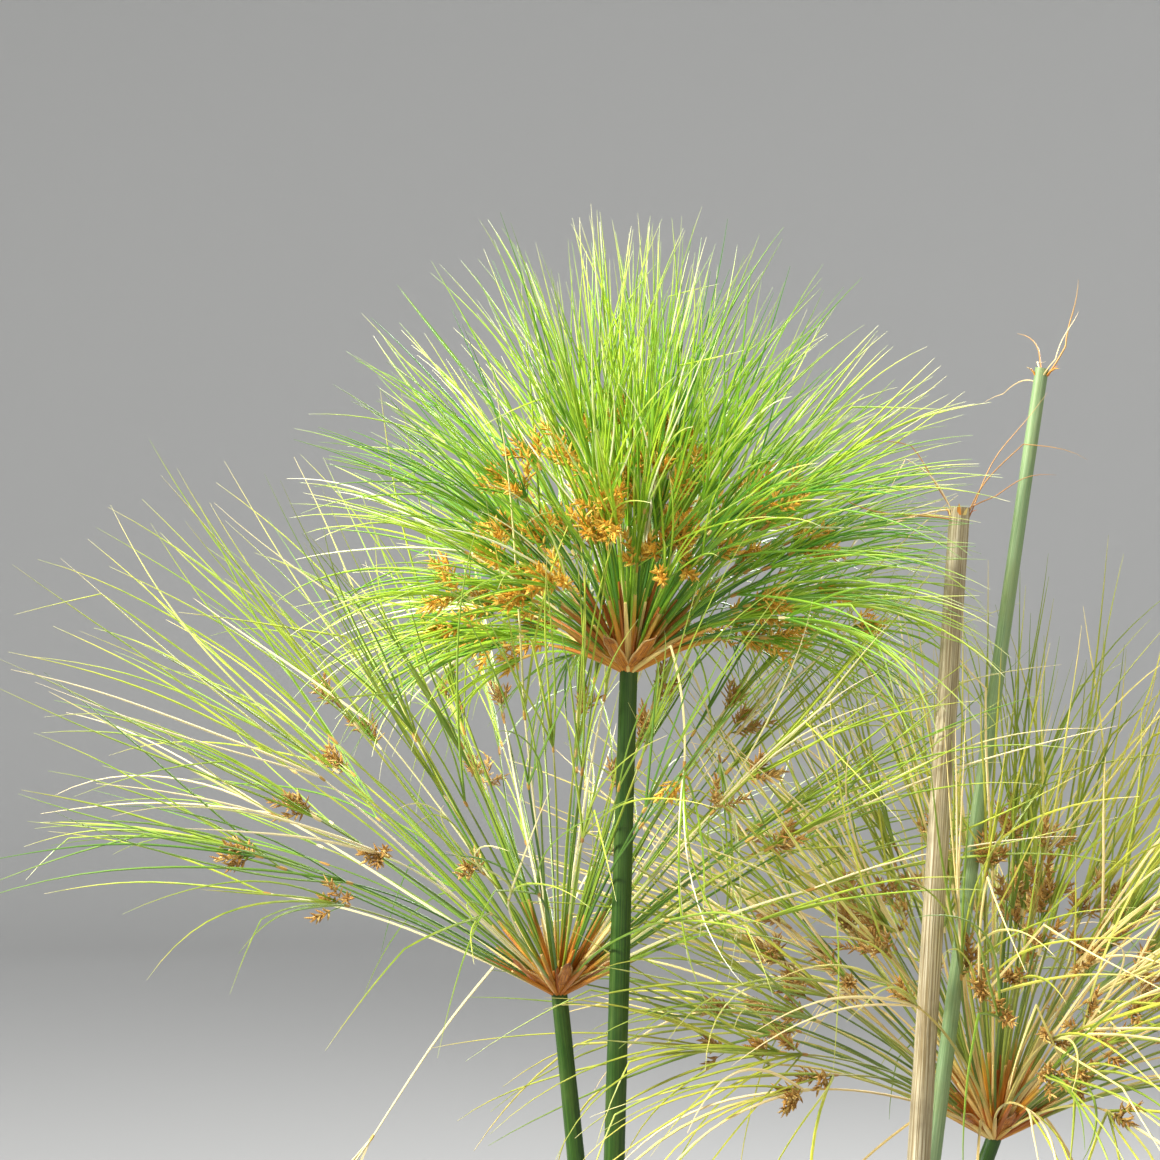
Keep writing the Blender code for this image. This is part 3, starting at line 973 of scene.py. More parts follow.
@dataclass
class Strands:
    """A bundle of thin strands. Every array holds one entry or row for each strand.

    Tilts are measured from straight up, and bend and swing are the changes of tilt and azimuth
    from foot to tip.
    """

    start: np.ndarray
    azimuth: np.ndarray
    tilt: np.ndarray
    bend: np.ndarray
    swing: np.ndarray
    length: np.ndarray
    radius: np.ndarray
    tint: np.ndarray
    kink: np.ndarray
    kink_at: np.ndarray
    power: float = 1.3
    ripple: float = 0.02

    @classmethod
    def aimed(cls, start: np.ndarray, directions: np.ndarray, length: np.ndarray,
              radius: np.ndarray, rng: np.random.Generator,
              **changes: np.ndarray | float) -> "Strands":
        """Straight strands with given directions.

        Args:
            start: Foot of each strand.
            directions: Unit direction of each strand.
            length: Length of each strand.
            radius: Radius at each foot.
            rng: Source of the tints.
            changes: Values for any other field.

        Returns:
            The bundle.
        """
        tilt, azimuth = angles_of(directions)
        count = len(tilt)
        values = {"bend": np.zeros(count), "swing": np.zeros(count), "kink": np.zeros(count),
                  "kink_at": np.full(count, NO_KINK), "tint": rng.random(count), **changes}
        return cls(start=start, azimuth=azimuth, tilt=tilt, length=length, radius=radius,
                   **values)

    def route(self, steps: int) -> tuple[np.ndarray, np.ndarray]:
        """Walk along every strand.

        Args:
            steps: Steps from foot to tip.

        Returns:
            Points and unit tangents, each with strands, stations and coordinates as axes.
        """
        along = (np.arange(steps) + 0.5) / steps
        phase = self.tint[:, None] * 40.0
        tilt = self.tilt[:, None] + self.bend[:, None] * along ** self.power
        tilt = tilt + self.kink[:, None] * (along > self.kink_at[:, None])
        tilt = tilt + self.ripple * np.sin(2.0 * math.pi * 1.3 * along + phase)
        azimuth = self.azimuth[:, None] + self.swing[:, None] * along
        azimuth = azimuth + self.ripple * np.sin(2.0 * math.pi * 1.1 * along + 1.7 * phase)
        way = headings(tilt, azimuth)
        hops = way * (self.length / steps)[:, None, None]
        zero = np.zeros((len(hops), 1, 3))
        points = self.start[:, None, :] + np.concatenate([zero, hops.cumsum(axis=1)], axis=1)
        before = np.concatenate([way[:, :1], way], axis=1)
        after = np.concatenate([way, way[:, -1:]], axis=1)
        return points, unit(before + after)

    def pick(self, chosen: np.ndarray) -> "Strands":
        """Pick out some of the strands.

        Args:
            chosen: Mask with one entry for each strand.

        Returns:
            The strands where the mask is true.
        """
        arrays = {key: value[chosen] for key, value in vars(self).items()
                  if isinstance(value, np.ndarray)}
        return Strands(**arrays, power=self.power, ripple=self.ripple)

    def first_part(self, length: np.ndarray, radius: np.ndarray) -> "Strands":
        """Make sleeves that wrap the first stretch of every strand.

        Args:
            length: Length of each sleeve.
            radius: Radius of each sleeve at its foot.

        Returns:
            The sleeves.
        """
        share = length / self.length
        return Strands(self.start, self.azimuth, self.tilt, self.bend * share ** self.power,
                       self.swing * share, length, radius, self.tint, self.kink * 0.0,
                       self.kink_at, self.power, 0.0)

    def fit(self, own: str, steps: int, edge: float = math.inf) -> "Strands":
        """Swing strands clear of other stems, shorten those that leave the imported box.

        Args:
            own: Stem that the strands grow on.
            steps: Steps to test along each strand.
            edge: Greatest x that the shortest-reaching strands may have.

        Returns:
            The strands that fit.
        """
        for nudge in SWINGS_ASIDE:
            self.swing = self.swing + nudge * self.touching(own, steps)
        kept = self.pick(~self.touching(own, steps))
        low, high = (np.array(corner) for corner in CAD_BOX)
        for _ in range(CUTS):
            points, _ = kept.route(steps)
            out = ((points < low - BOX_SPARE) | (points > high + BOX_SPARE)).any(axis=(1, 2))
            out |= points[:, :, 0].max(axis=1) > edge + EDGE_FADE * kept.tint
            kept.length = np.where(out, kept.length * STEP_BACK, kept.length)
        return kept

    def touching(self, own: str, steps: int) -> np.ndarray:
        """Find the strands that pass through a stem other than their own.

        Args:
            own: Stem that the strands grow on.
            steps: Steps along each strand, which are made three times finer for the test.

        Returns:
            Mask with one entry for each strand.
        """
        points, _ = self.route(steps * 3)
        hit = np.zeros(len(points), dtype=bool)
        for stem, line in STEMS.items():
            if stem == own:
                continue
            heights = points[:, :, 2]
            away = np.linalg.norm(points[:, :, :2] - line.centre(heights)[..., :2], axis=2)
            beside = (heights > line.low) & (heights < line.high + 0.004)
            hit |= (beside & (away < line.radius(heights) * 1.1 + STEM_MARGIN)).any(axis=1)
        return hit

    def weave(self, name: str, shape: Shape) -> bpy.types.Mesh:
        """Build all strands as one mesh.

        Args:
            name: The mesh's name.
            shape: Cross-section and resolution.

        Returns:
            The mesh, carrying each vertex's place along its strand and its strand's tint.
        """
        template = tube_template(shape.sides, shape.steps)
        model = places_of(template)
        mesh = joined_copies(template, len(self.length), name)
        station = np.rint(model[:, 2] * shape.steps).astype(int)
        points, tangents = self.route(shape.steps)
        side = np.stack([-np.sin(self.azimuth), np.cos(self.azimuth),
                         np.zeros_like(self.azimuth)], axis=-1)[:, None, :]
        side = unit(side - tangents * (side * tangents).sum(axis=2, keepdims=True))
        above = np.cross(tangents, side)
        thickness = shape.profile.thickness(model[:, 2])
        across = self.radius[:, None] * (model[:, 0] * thickness)[None, :]
        upward = self.radius[:, None] * (model[:, 1] * thickness)[None, :] * shape.flatness
        places = (points[:, station] + side[:, station] * across[..., None]
                  + above[:, station] * upward[..., None])
        set_places(mesh, places.reshape(-1, 3))
        carry(mesh, "along", np.tile(model[:, 2], len(self.length)))
        carry(mesh, "tint", np.repeat(self.tint, len(model)))
        return mesh


# --- The plant -----------------------------------------------------------------------------


@dataclass
class Umbel:
    """Mop of rays on a culm: sleeved rays, thread-like bracteoles, flower spikes and bracts."""

    stem: str
    rays: int
    seed: int
    widest: float                   # tilt of the outermost rays, in degrees
    droop: float                    # how far the outermost strands arch over, in degrees
    ray_share: Range                # length of the rays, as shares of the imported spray's rise
    threads: tuple[int, int]        # fewest and most threads at a joint
    flowering: float                # share of the rays that carry flower spikes
    ray_finish: StrandFinish
    thread_finish: StrandFinish
    spikelet_finish: SpikeletFinish
    ray_radius: float = 0.00110
    thread_radius: float = 0.00084
    thread_lean: float = 15.0       # spread of a joint's threads, in degrees
    lopsided: float = 0.0           # how much longer the strands towards +X are
    squat: float = 0.0              # how much shorter level strands are than upright ones
    edge: float = math.inf          # greatest x that the shortest-reaching threads may have
    front_lift: float = 0.0         # how much less the rays at the front tilt and arch
    unrest: float = 1.0             # irregularity of bends and swings
    kinked: float = 0.04            # share of the threads that have a sharp bend
    broken: tuple[float, ...] = ()  # azimuths of the snapped rays, in radians
    arcs: tuple[tuple[float, float, float], ...] = ()   # azimuth, tilt, length share of rays
    sleeve: Range = (0.022, 0.078)
    joint_sleeve: Range = (0.007, 0.012)
    thread_least: float = 0.36      # length of the shortest threads, as a share of the rise
    thread_more: float = 0.28       # how much more of it the longest have
    spikes: tuple[int, int] = (3, 5)        # fewest and most spikes at a flowering joint
    spike_lean: Range = (6.0, 46.0)         # from the ray's own way, in degrees
    stalk: Range = (0.002, 0.015)
    stalk_radius: float = 0.00038
    brush: Range = (0.012, 0.021)           # length of the part that bears spikelets
    spikelets: tuple[int, int] = (11, 15)   # fewest and most on a spike
    spikelet: Range = (0.0060, 0.0098)
    spikelet_radius: Range = (0.00095, 0.00135)
    spikelet_lean: float = 58.0             # at the foot of a brush, in degrees
    bract_wall: float = 0.0007

    def __post_init__(self) -> None:
        """Read the umbel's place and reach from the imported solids."""
        self.rng = np.random.default_rng(self.seed)
        self.line = STEMS[self.stem]
        self.head = self.line.head()
        self.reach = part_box(f"umbel_{self.stem}_rays")[1].z - self.head[2]

    def build(self) -> None:
        """Build and dress every piece of the umbel."""
        rays = self.make_rays()
        show(rays.weave("rays", RAY_SHAPE), f"umbel_{self.stem}_rays_fine", self.ray_finish,
             (f"umbel_{self.stem}_rays",))
        self.make_sleeves(rays)
        joints, ways = rays.route(RAY_SHAPE.steps)
        joints, ways = joints[:, -1], ways[:, -1]
        threads = self.make_threads(rays, joints, ways)
        show(threads.weave("threads", THREAD_SHAPE), f"umbel_{self.stem}_bracteoles",
             self.thread_finish)
        self.make_spikes(joints, ways)
        self.make_bracts()

    def make_rays(self) -> Strands:
        """Make the rays from the culm's crown, upright in the middle and arching at the rim.

        Returns:
            The rays.
        """
        rng, count = self.rng, self.rays
        order = (np.arange(count) + 0.5) / count
        azimuth = np.arange(count) * GOLDEN_ANGLE + rng.normal(0.0, 0.14, count)
        fraction = np.clip(order ** 0.58 + rng.normal(0.0, 0.035, count), 0.02, 1.0)
        share = rng.uniform(*self.ray_share, count)
        bend = np.radians(3.0 + 9.0 * fraction + self.droop * 0.42 * fraction ** 3)
        bend = bend + rng.normal(0.0, 0.05 * self.unrest, count)
        tilt = math.radians(self.widest) * fraction
        towards_front = np.clip(-np.sin(azimuth), 0.0, 1.0) ** 2
        tilt = tilt * (1.0 - self.front_lift * towards_front)
        bend = bend * (1.0 - self.front_lift * towards_front)
        if self.arcs:
            fixed = slice(0, len(self.arcs))
            azimuth[fixed], tilt[fixed], share[fixed] = np.array(self.arcs).T
            azimuth[fixed], tilt[fixed] = np.radians(azimuth[fixed]), np.radians(tilt[fixed])
            fraction[fixed], bend[fixed] = 0.9, math.radians(9.0)
        kink, kink_at = np.zeros(count), np.full(count, NO_KINK)
        snapped = slice(count - len(self.broken), count)
        azimuth[snapped] = self.broken
        kink[snapped] = rng.uniform(1.15, 1.45, len(self.broken))
        kink_at[snapped] = rng.uniform(0.16, 0.34, len(self.broken))
        outward = headings(np.full(count, SIDEWAYS), azimuth)
        inset = self.line.radius(self.line.high) * 0.85 * fraction
        start = self.head + outward * inset[:, None]
        start[:, 2] += 0.003 * (1.0 - fraction) - 0.002
        share = share * (1.0 + self.lopsided * np.sin(tilt) * np.cos(azimuth))
        share = share * (1.0 - self.squat * np.sin(tilt))
        rays = Strands(start, azimuth, tilt, bend, rng.normal(0.0, 0.10 * self.unrest, count),
                       self.reach * share, self.ray_radius * rng.uniform(0.85, 1.15, count),
                       rng.random(count), kink, kink_at)
        rays.tint[snapped] = 1.0
        return rays.fit(self.stem, RAY_SHAPE.steps)

    def make_sleeves(self, rays: Strands) -> None:
        """Make tubular sheaths, long ones round the rays' feet and short ones at their joints.

        Args:
            rays: The rays.
        """
        rng, count = self.rng, len(rays.length)
        foot = rays.first_part(rng.uniform(*self.sleeve, count), rays.radius * 1.5)
        show(foot.weave("sleeves", SLEEVE_SHAPE), f"umbel_{self.stem}_ray_sleeves", RAY_SLEEVE)
        points, ways = rays.route(RAY_SHAPE.steps)
        joint = Strands.aimed(points[:, -1] - ways[:, -1] * 0.005, ways[:, -1],
                              rng.uniform(*self.joint_sleeve, count), rays.radius * 0.95, rng)
        show(joint.weave("joints", SLEEVE_SHAPE), f"umbel_{self.stem}_joint_sleeves",
             JOINT_SLEEVE)

    def make_threads(self, rays: Strands, joints: np.ndarray, ways: np.ndarray) -> Strands:
        """Make the long thread-like bracteoles, a few from each ray's joint.

        Args:
            rays: The rays.
            joints: Tip of each ray.
            ways: Unit direction of each ray at its tip.

        Returns:
            The threads.
        """
        rng = self.rng
        counts = rng.integers(self.threads[0], self.threads[1] + 1, len(joints))
        owner = np.repeat(np.arange(len(joints)), counts)
        total = len(owner)
        lean = np.abs(rng.normal(0.0, math.radians(self.thread_lean), total))
        lean = np.minimum(lean, math.radians(self.thread_lean) * 2.3)
        way = spread(ways[owner], lean, rng.uniform(0.0, math.tau, total))
        fraction = np.clip(rays.tilt[owner] / math.radians(self.widest), 0.0, 1.0)
        bend = np.radians(2.0 + 12.0 * fraction + self.droop * 0.62 * fraction ** 2.4)
        share = self.thread_least + self.thread_more * rng.random(total) ** 0.6
        share = share * (1.0 + self.lopsided * way[:, 0])
        share = share * (1.0 - self.squat * np.hypot(way[:, 0], way[:, 1]))
        kink = np.where(rng.random(total) < self.kinked, rng.normal(0.5, 0.35, total), 0.0)
        threads = Strands.aimed(
            joints[owner], way, self.reach * share,
            self.thread_radius * rng.uniform(0.8, 1.2, total), rng,
            bend=bend + rng.normal(0.0, 0.17 * self.unrest, total),
            swing=rng.normal(0.0, 0.20 * self.unrest, total),
            kink=kink, kink_at=rng.uniform(0.3, 0.8, total))
        threads.tint = np.clip(0.35 * threads.tint + 0.65 * rays.tint[owner], 0.0, 1.0)
        return threads.fit(self.stem, THREAD_SHAPE.steps, self.edge)

    def make_spikes(self, joints: np.ndarray, ways: np.ndarray) -> None:
        """Make bottlebrush flower spikes on short stalks at the flowering rays' joints.

        Args:
            joints: Tip of each ray.
            ways: Unit direction of each ray at its tip.
        """
        rng = self.rng
        in_flower = np.flatnonzero(rng.random(len(joints)) < self.flowering)
        fewest, most = self.spikes
        owner = np.repeat(in_flower, rng.integers(fewest, most + 1, len(in_flower)))
        count = len(owner)
        least, most = (math.radians(lean) for lean in self.spike_lean)
        lean = rng.uniform(least, most, count)
        axis = spread(ways[owner], lean, rng.uniform(0.0, math.tau, count))
        stalk = rng.uniform(*self.stalk, count)
        brush = rng.uniform(*self.brush, count)
        stalks = Strands.aimed(joints[owner], axis, stalk + brush,
                               np.full(count, self.stalk_radius), rng)
        show(stalks.weave("stalks", RACHIS_SHAPE), f"umbel_{self.stem}_spike_stalks",
             self.ray_finish)
        each = rng.integers(self.spikelets[0], self.spikelets[1] + 1, count)
        spike = np.repeat(np.arange(count), each)
        rank = np.concatenate([(np.arange(number) + 0.5) / number for number in each])
        spot = (stalk[spike] + brush[spike] * rank)[:, None]
        place = joints[owner][spike] + axis[spike] * spot
        lift = math.radians(self.spikelet_lean) * (1.0 - 0.55 * rank)
        lift = lift + rng.normal(0.0, 0.10, len(spike))
        turn = np.arange(len(spike)) * GOLDEN_ANGLE
        way = spread(axis[spike], lift, turn)
        spikelets = Strands.aimed(place, way, rng.uniform(*self.spikelet, len(spike)),
                                  rng.uniform(*self.spikelet_radius, len(spike)), rng)
        show(spikelets.weave("spikelets", SPIKELET_SHAPE), f"umbel_{self.stem}_spikelets",
             self.spikelet_finish)

    def make_bracts(self) -> None:
        """Cup of leathery pointed bracts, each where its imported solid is."""
        names = sorted(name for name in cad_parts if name.startswith(f"bract_{self.stem}_"))
        cup = bmesh.new()
        for name in names:
            cup.from_mesh(Bract(name, self.head, self.rng).make())
        piece = show(to_mesh(cup, "bracts"), f"umbel_{self.stem}_bracts", BRACT_BROWN,
                     tuple(names))
        thicken(piece, self.bract_wall)


@dataclass
class Bract:
    """One pointed, channelled bract."""

    node: str
    head: np.ndarray
    rng: np.random.Generator
    across: int = 10
    steps: int = 26
    hops: int = 59                  # finer steps in which the blade's curve is added up
    width: float = 0.0155
    tilt: float = 63.0              # at the foot, in degrees
    tilt_lost: float = 10.0         # from foot to tip, in degrees
    sunk: float = 0.001             # how far the foot goes into the crown

    def make(self) -> bpy.types.Mesh:
        """Shape a grid into the blade.

        Returns:
            The blade's mesh, carrying its veins' coordinates and its distance from the edge.
        """
        places = places_of(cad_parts[self.node].data)
        away = np.linalg.norm(places[:, :2] - self.head[:2], axis=1)
        tip, foot = places[away.argmax()], places[away.argmin()]
        azimuth = math.atan2(tip[1] - self.head[1], tip[0] - self.head[0])
        length = np.linalg.norm(tip - foot) * self.rng.uniform(0.86, 1.0)
        width = self.width * self.rng.uniform(0.85, 1.15)
        bm = bmesh.new()
        bmesh.ops.create_grid(bm, x_segments=self.across, y_segments=self.steps, size=0.5)
        mesh = to_mesh(bm, "bract")
        grid = places_of(mesh)
        over, along = grid[:, 0] * 2.0, grid[:, 1] + 0.5
        outline = (np.clip(1.0 - along ** 2.6, 0.0, 1.0) ** 0.8) * (0.62 + 0.5 * along) + 0.02
        half = 0.5 * width * outline
        tilt = math.radians(self.tilt) - math.radians(self.tilt_lost) * along
        tilt = tilt + self.rng.uniform(-0.5, 0.9) * np.clip(along - 0.62, 0.0, 1.0) ** 1.5 * 2.2
        heights = np.linspace(0.0, 1.0, self.hops + 1)
        order = np.argsort(along)
        bent = np.interp(heights, along[order], tilt[order])
        run = np.concatenate([[0.0], np.cumsum(np.sin(bent[1:]) / self.hops)]) * length
        rise = np.concatenate([[0.0], np.cumsum(np.cos(bent[1:]) / self.hops)]) * length
        reach = np.interp(along, heights, run)
        lift = np.interp(along, heights, rise)
        roll = self.rng.uniform(-0.5, 0.5) * along ** 2
        cup = 0.42 * half * over ** 2 * (1.0 - 0.3 * along)
        ribs = 0.00022 * np.cos(over * math.pi * 5.0) * (1.0 - along)
        ruffle = 0.0012 * np.sin(along * 15.0 + self.rng.uniform(0.0, 6.0)) * over ** 2 * over
        sideways = over * half * np.cos(roll)
        normal = cup + ribs + ruffle * along + over * half * np.sin(roll)
        outward = np.array([math.cos(azimuth), math.sin(azimuth), 0.0])
        side = np.array([-math.sin(azimuth), math.cos(azimuth), 0.0])
        back = -outward * np.cos(tilt)[:, None] + UP * np.sin(tilt)[:, None]
        from_axis = np.linalg.norm(foot[:2] - self.head[:2]) - self.sunk
        base = foot.copy()
        base[:2] = self.head[:2] + outward[:2] * from_axis
        points = (base + outward * reach[:, None] + UP * lift[:, None]
                  + side * sideways[:, None] + back * normal[:, None])
        set_places(mesh, points)
        drift = self.rng.uniform(0.0, 50.0)
        carry(mesh, "skin", np.stack([over + drift, along * 3.0, np.zeros_like(along)], axis=1))
        carry(mesh, "along", along)
        carry(mesh, "edge", np.abs(over))
        return mesh


@dataclass
class Culm:
    """Tall rounded-triangular stem."""

    stem: str
    finish: CulmFinish
    pith: PithFinish | None = None
    sides: int = 30
    steps: int = 70
    seed: int = 3
    edge: float = 0.090             # height of the three ridges, as a share of the radius
    turn: float = 0.0               # angle of the first ridge
    pith_sunk: float = 0.0010

    def build(self) -> None:
        """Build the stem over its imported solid."""
        line = STEMS[self.stem]
        mesh = tube_template(self.sides, self.steps)
        model = places_of(mesh)
        angle = np.arctan2(model[:, 1], model[:, 0])
        along = model[:, 2]
        height = line.low + along * (line.high - line.low)
        drift = 0.012 * np.sin(along * 23.0 + self.seed) + 0.008 * np.sin(along * 61.0)
        faced = 3.0 * (angle - self.turn)
        ridge = 1.0 + self.edge * (np.cos(faced) + 0.18 * np.cos(2.0 * faced))
        radius = line.radius(height) * ridge * (1.0 + drift)
        set_places(mesh, line.wrap(height, angle, radius))
        skin = np.stack([np.cos(angle) * 0.01, np.sin(angle) * 0.01, height], axis=1)
        carry(mesh, "skin", skin)
        carry(mesh, "along", along)
        if self.pith:
            self.open_top(mesh, line)
        show(mesh, f"culm_{self.stem}_skin", self.finish, (f"culm_{self.stem}",), 60.0)

    def open_top(self, mesh: bpy.types.Mesh, line: StemLine) -> None:
        """Show pith on the cut end, sunk a little inside the rind.

        Args:
            mesh: The stem's mesh.
            line: The stem's centre line.
        """
        mesh.materials.append(self.finish.make())
        mesh.materials.append(self.pith.make())
        bm = bmesh.new()
        bm.from_mesh(mesh)
        cap = max(bm.faces, key=lambda face: face.calc_center_median().z)
        bmesh.ops.inset_individual(bm, faces=[cap], thickness=line.radius(line.high) * 0.16,
                                   depth=-self.pith_sunk)
        for _ in range(3):
            bmesh.ops.inset_individual(bm, faces=[cap], thickness=line.radius(line.high) * 0.2,
                                       depth=-0.0003)
        for face in bm.faces:
            level = face.calc_center_median().z > line.high - 0.004 and abs(face.normal.z) > 0.8
            if face == cap or level:
                face.material_index = 1
        bm.to_mesh(mesh)
        bm.free()


@dataclass
class DriedTuft:
    """Dried rays, torn sheath and splinters left on the end of a spent culm."""

    stem: str
    rays: int
    flaps: int
    seed: int

    def build(self) -> None:
        """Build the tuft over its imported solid."""
        rng = np.random.default_rng(self.seed)
        line = STEMS[self.stem]
        head, radius = line.head(), float(line.radius(line.high))
        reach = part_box(f"tuft_{self.stem}")[1].z - head[2]
        azimuth = rng.uniform(0.0, math.tau, self.rays)
        outward = headings(np.full(self.rays, SIDEWAYS), azimuth)
        tilt = rng.uniform(math.radians(20.0), math.radians(95.0), self.rays)
        rays = Strands.aimed(head + outward * radius * 0.8, headings(tilt, azimuth),
                             reach * rng.uniform(0.7, 1.3, self.rays),
                             rng.uniform(0.0004, 0.0007, self.rays), rng,
                             bend=rng.normal(0.5, 0.4, self.rays),
                             swing=rng.normal(0.0, 0.8, self.rays),
                             kink=rng.normal(0.0, 0.5, self.rays),
                             kink_at=rng.uniform(0.3, 0.8, self.rays), ripple=0.12)
        rays.start[:, 2] -= rng.uniform(0.0, 0.012, self.rays)
        rays = rays.fit(self.stem, THREAD_SHAPE.steps)
        show(rays.weave("dried", THREAD_SHAPE), f"tuft_{self.stem}_dried_rays", THREAD_DRY,
             (f"tuft_{self.stem}",))
        count = self.flaps
        azimuth = np.arange(count) * math.tau / count + rng.normal(0.0, 0.3, count)
        outward = headings(np.full(count, SIDEWAYS), azimuth)
        flaps = Strands.aimed(head + outward * radius * 0.98 - [0.0, 0.0, 0.006],
                              headings(rng.uniform(0.05, 0.7, count), azimuth),
                              rng.uniform(0.007, 0.014, count),
                              rng.uniform(0.0009, 0.0019, count), rng,
                              bend=rng.uniform(0.2, 1.3, count))
        show(flaps.weave("flaps", SPLINTER_SHAPE), f"tuft_{self.stem}_torn_sheath", RAY_SLEEVE)


@dataclass
class FootSheaths:
    """Overlapping papery sheaths round the foot of a stem, the inner ones taller."""

    stem: str
    layers: int
    seed: int
    sides: int = 24
    steps: int = 14
    wall: float = 0.0006

    def build(self) -> None:
        """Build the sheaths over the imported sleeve."""
        rng = np.random.default_rng(self.seed)
        line = STEMS[self.stem]
        low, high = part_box(f"sheath_{self.stem}")
        tall = high.z - low.z
        stack = bmesh.new()
        for layer in range(self.layers):
            share = 1.0 - 0.27 * layer
            stack.from_mesh(self.sleeve(rng, line, low.z, tall * share, layer))
        piece = show(to_mesh(stack, "sheaths"), f"sheaths_{self.stem}_papery",
                     SHEATH_GREEN if self.stem in SHOOTS else SHEATH_BROWN,
                     (f"sheath_{self.stem}",))
        thicken(piece, self.wall)

    def sleeve(self, rng: np.random.Generator, line: StemLine, foot: float, tall: float,
               layer: int) -> bpy.types.Mesh:
        """One sheath with an oblique mouth that runs out to a point.

        Args:
            rng: Source of its irregularities.
            line: Centre line of the stem.
            foot: Height of the sheath's foot.
            tall: Height of its point above the foot.
            layer: How many sheaths lie under it.

        Returns:
            The sheath's mesh.
        """
        mesh = tube_template(self.sides, self.steps, capped=False)
        model = places_of(mesh)
        angle = np.arctan2(model[:, 1], model[:, 0])
        along = model[:, 2]
        turn = rng.uniform(0.0, math.tau)
        facing = (0.5 + 0.5 * np.cos(angle - turn)) ** 2.2
        ragged = 0.02 * np.sin(angle * 7.0 + turn) + 0.012 * np.sin(angle * 17.0)
        mouth = 0.55 + 0.45 * facing + ragged
        height = foot + tall * along * mouth
        gap = 0.0006 + 0.0011 * layer
        flare = 0.0035 * facing * np.clip(along - 0.6, 0.0, 1.0) ** 2 * 6.0
        swell = 0.0012 * (1.0 - along) * (1.0 + layer * 0.4)
        crease = 0.0003 * np.sin(angle * 11.0 + turn * 3.0) * along
        radius = line.radius(height) * (1.0 + 0.075 * np.cos(3.0 * angle)) + gap
        set_places(mesh, line.wrap(height, angle, radius + flare + swell + crease))
        skin = np.stack([np.cos(angle) * 0.8 + layer * 3.0, along * 2.0, np.sin(angle) * 6.0],
                        axis=1)
        carry(mesh, "skin", skin)
        carry(mesh, "along", along)
        carry(mesh, "edge", np.clip(along * 1.02, 0.0, 1.0) ** 3)
        return mesh


# --- Pot, soil and rootstock ---------------------------------------------------------------


@dataclass
class Pot:
    """Plain tapered clay pot with a thick rim."""

    turns: int = 160
    wall: float = 0.013
    rim: float = 0.042
    lip: float = 0.0045             # rounding of the rim's edges
    floor: float = 0.020

    def __post_init__(self) -> None:
        """Read the pot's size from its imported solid."""
        low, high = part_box("pot")
        self.height = high.z
        self.rim_radius = (high.x - low.x) / 2
        places = places_of(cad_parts["pot"].data)
        underside = places[places[:, 2] < 0.0001]
        self.foot_radius = np.linalg.norm(underside[:, :2], axis=1).max() + 0.004

    def outer(self, height: float) -> float:
        """Radius of the outer wall below the rim."""
        top = self.rim_radius - 0.008
        return self.foot_radius + (top - self.foot_radius) * height / self.height

    def build(self) -> None:
        """Turn the pot's outline."""
        shoulder = self.height - self.rim
        outline = [(0.0, 0.0), (self.foot_radius * 0.5, 0.0), (self.foot_radius - 0.005, 0.0),
                   (self.foot_radius - 0.0015, 0.0012), (self.foot_radius, 0.005)]
        for index in range(1, 15):
            height = 0.005 + (shoulder - 0.012) * index / 14
            outline.append((self.outer(height) + 0.00035 * math.sin(index * 2.4), height))
        outline += [(self.outer(shoulder) + 0.0006, shoulder - 0.003),
                    (self.outer(shoulder) + 0.003, shoulder - 0.0006),
                    (self.rim_radius - self.lip, shoulder),
                    (self.rim_radius - 0.0012, shoulder + 0.0014),
                    (self.rim_radius, shoulder + self.lip),
                    (self.rim_radius - 0.0006, shoulder + self.rim * 0.5),
                    (self.rim_radius, self.height - self.lip),
                    (self.rim_radius - 0.0013, self.height - 0.0014),
                    (self.rim_radius - self.lip, self.height)]
        inner = self.outer(self.height) - self.wall
        outline += [(inner + self.lip, self.height), (inner + 0.0013, self.height - 0.0014),
                    (inner, self.height - self.lip),
                    (self.outer(shoulder) - self.wall, shoulder),
                    (self.foot_radius - self.wall, self.floor + 0.004),
                    (self.foot_radius * 0.5, self.floor), (0.0, self.floor)]
        bm = turned(outline, self.turns, 1e-6)
        for vert in bm.verts:
            wobble = noise.noise(vert.co * 7.0) * 0.0009
            reach = vert.co.xy.length
            if reach > 0.01 and vert.co.z > 0.001:
                vert.co.xy *= 1.0 + wobble / reach
        show(to_mesh(bm, "pot"), "pot_clay", CLAY, ("pot",), 30.0)


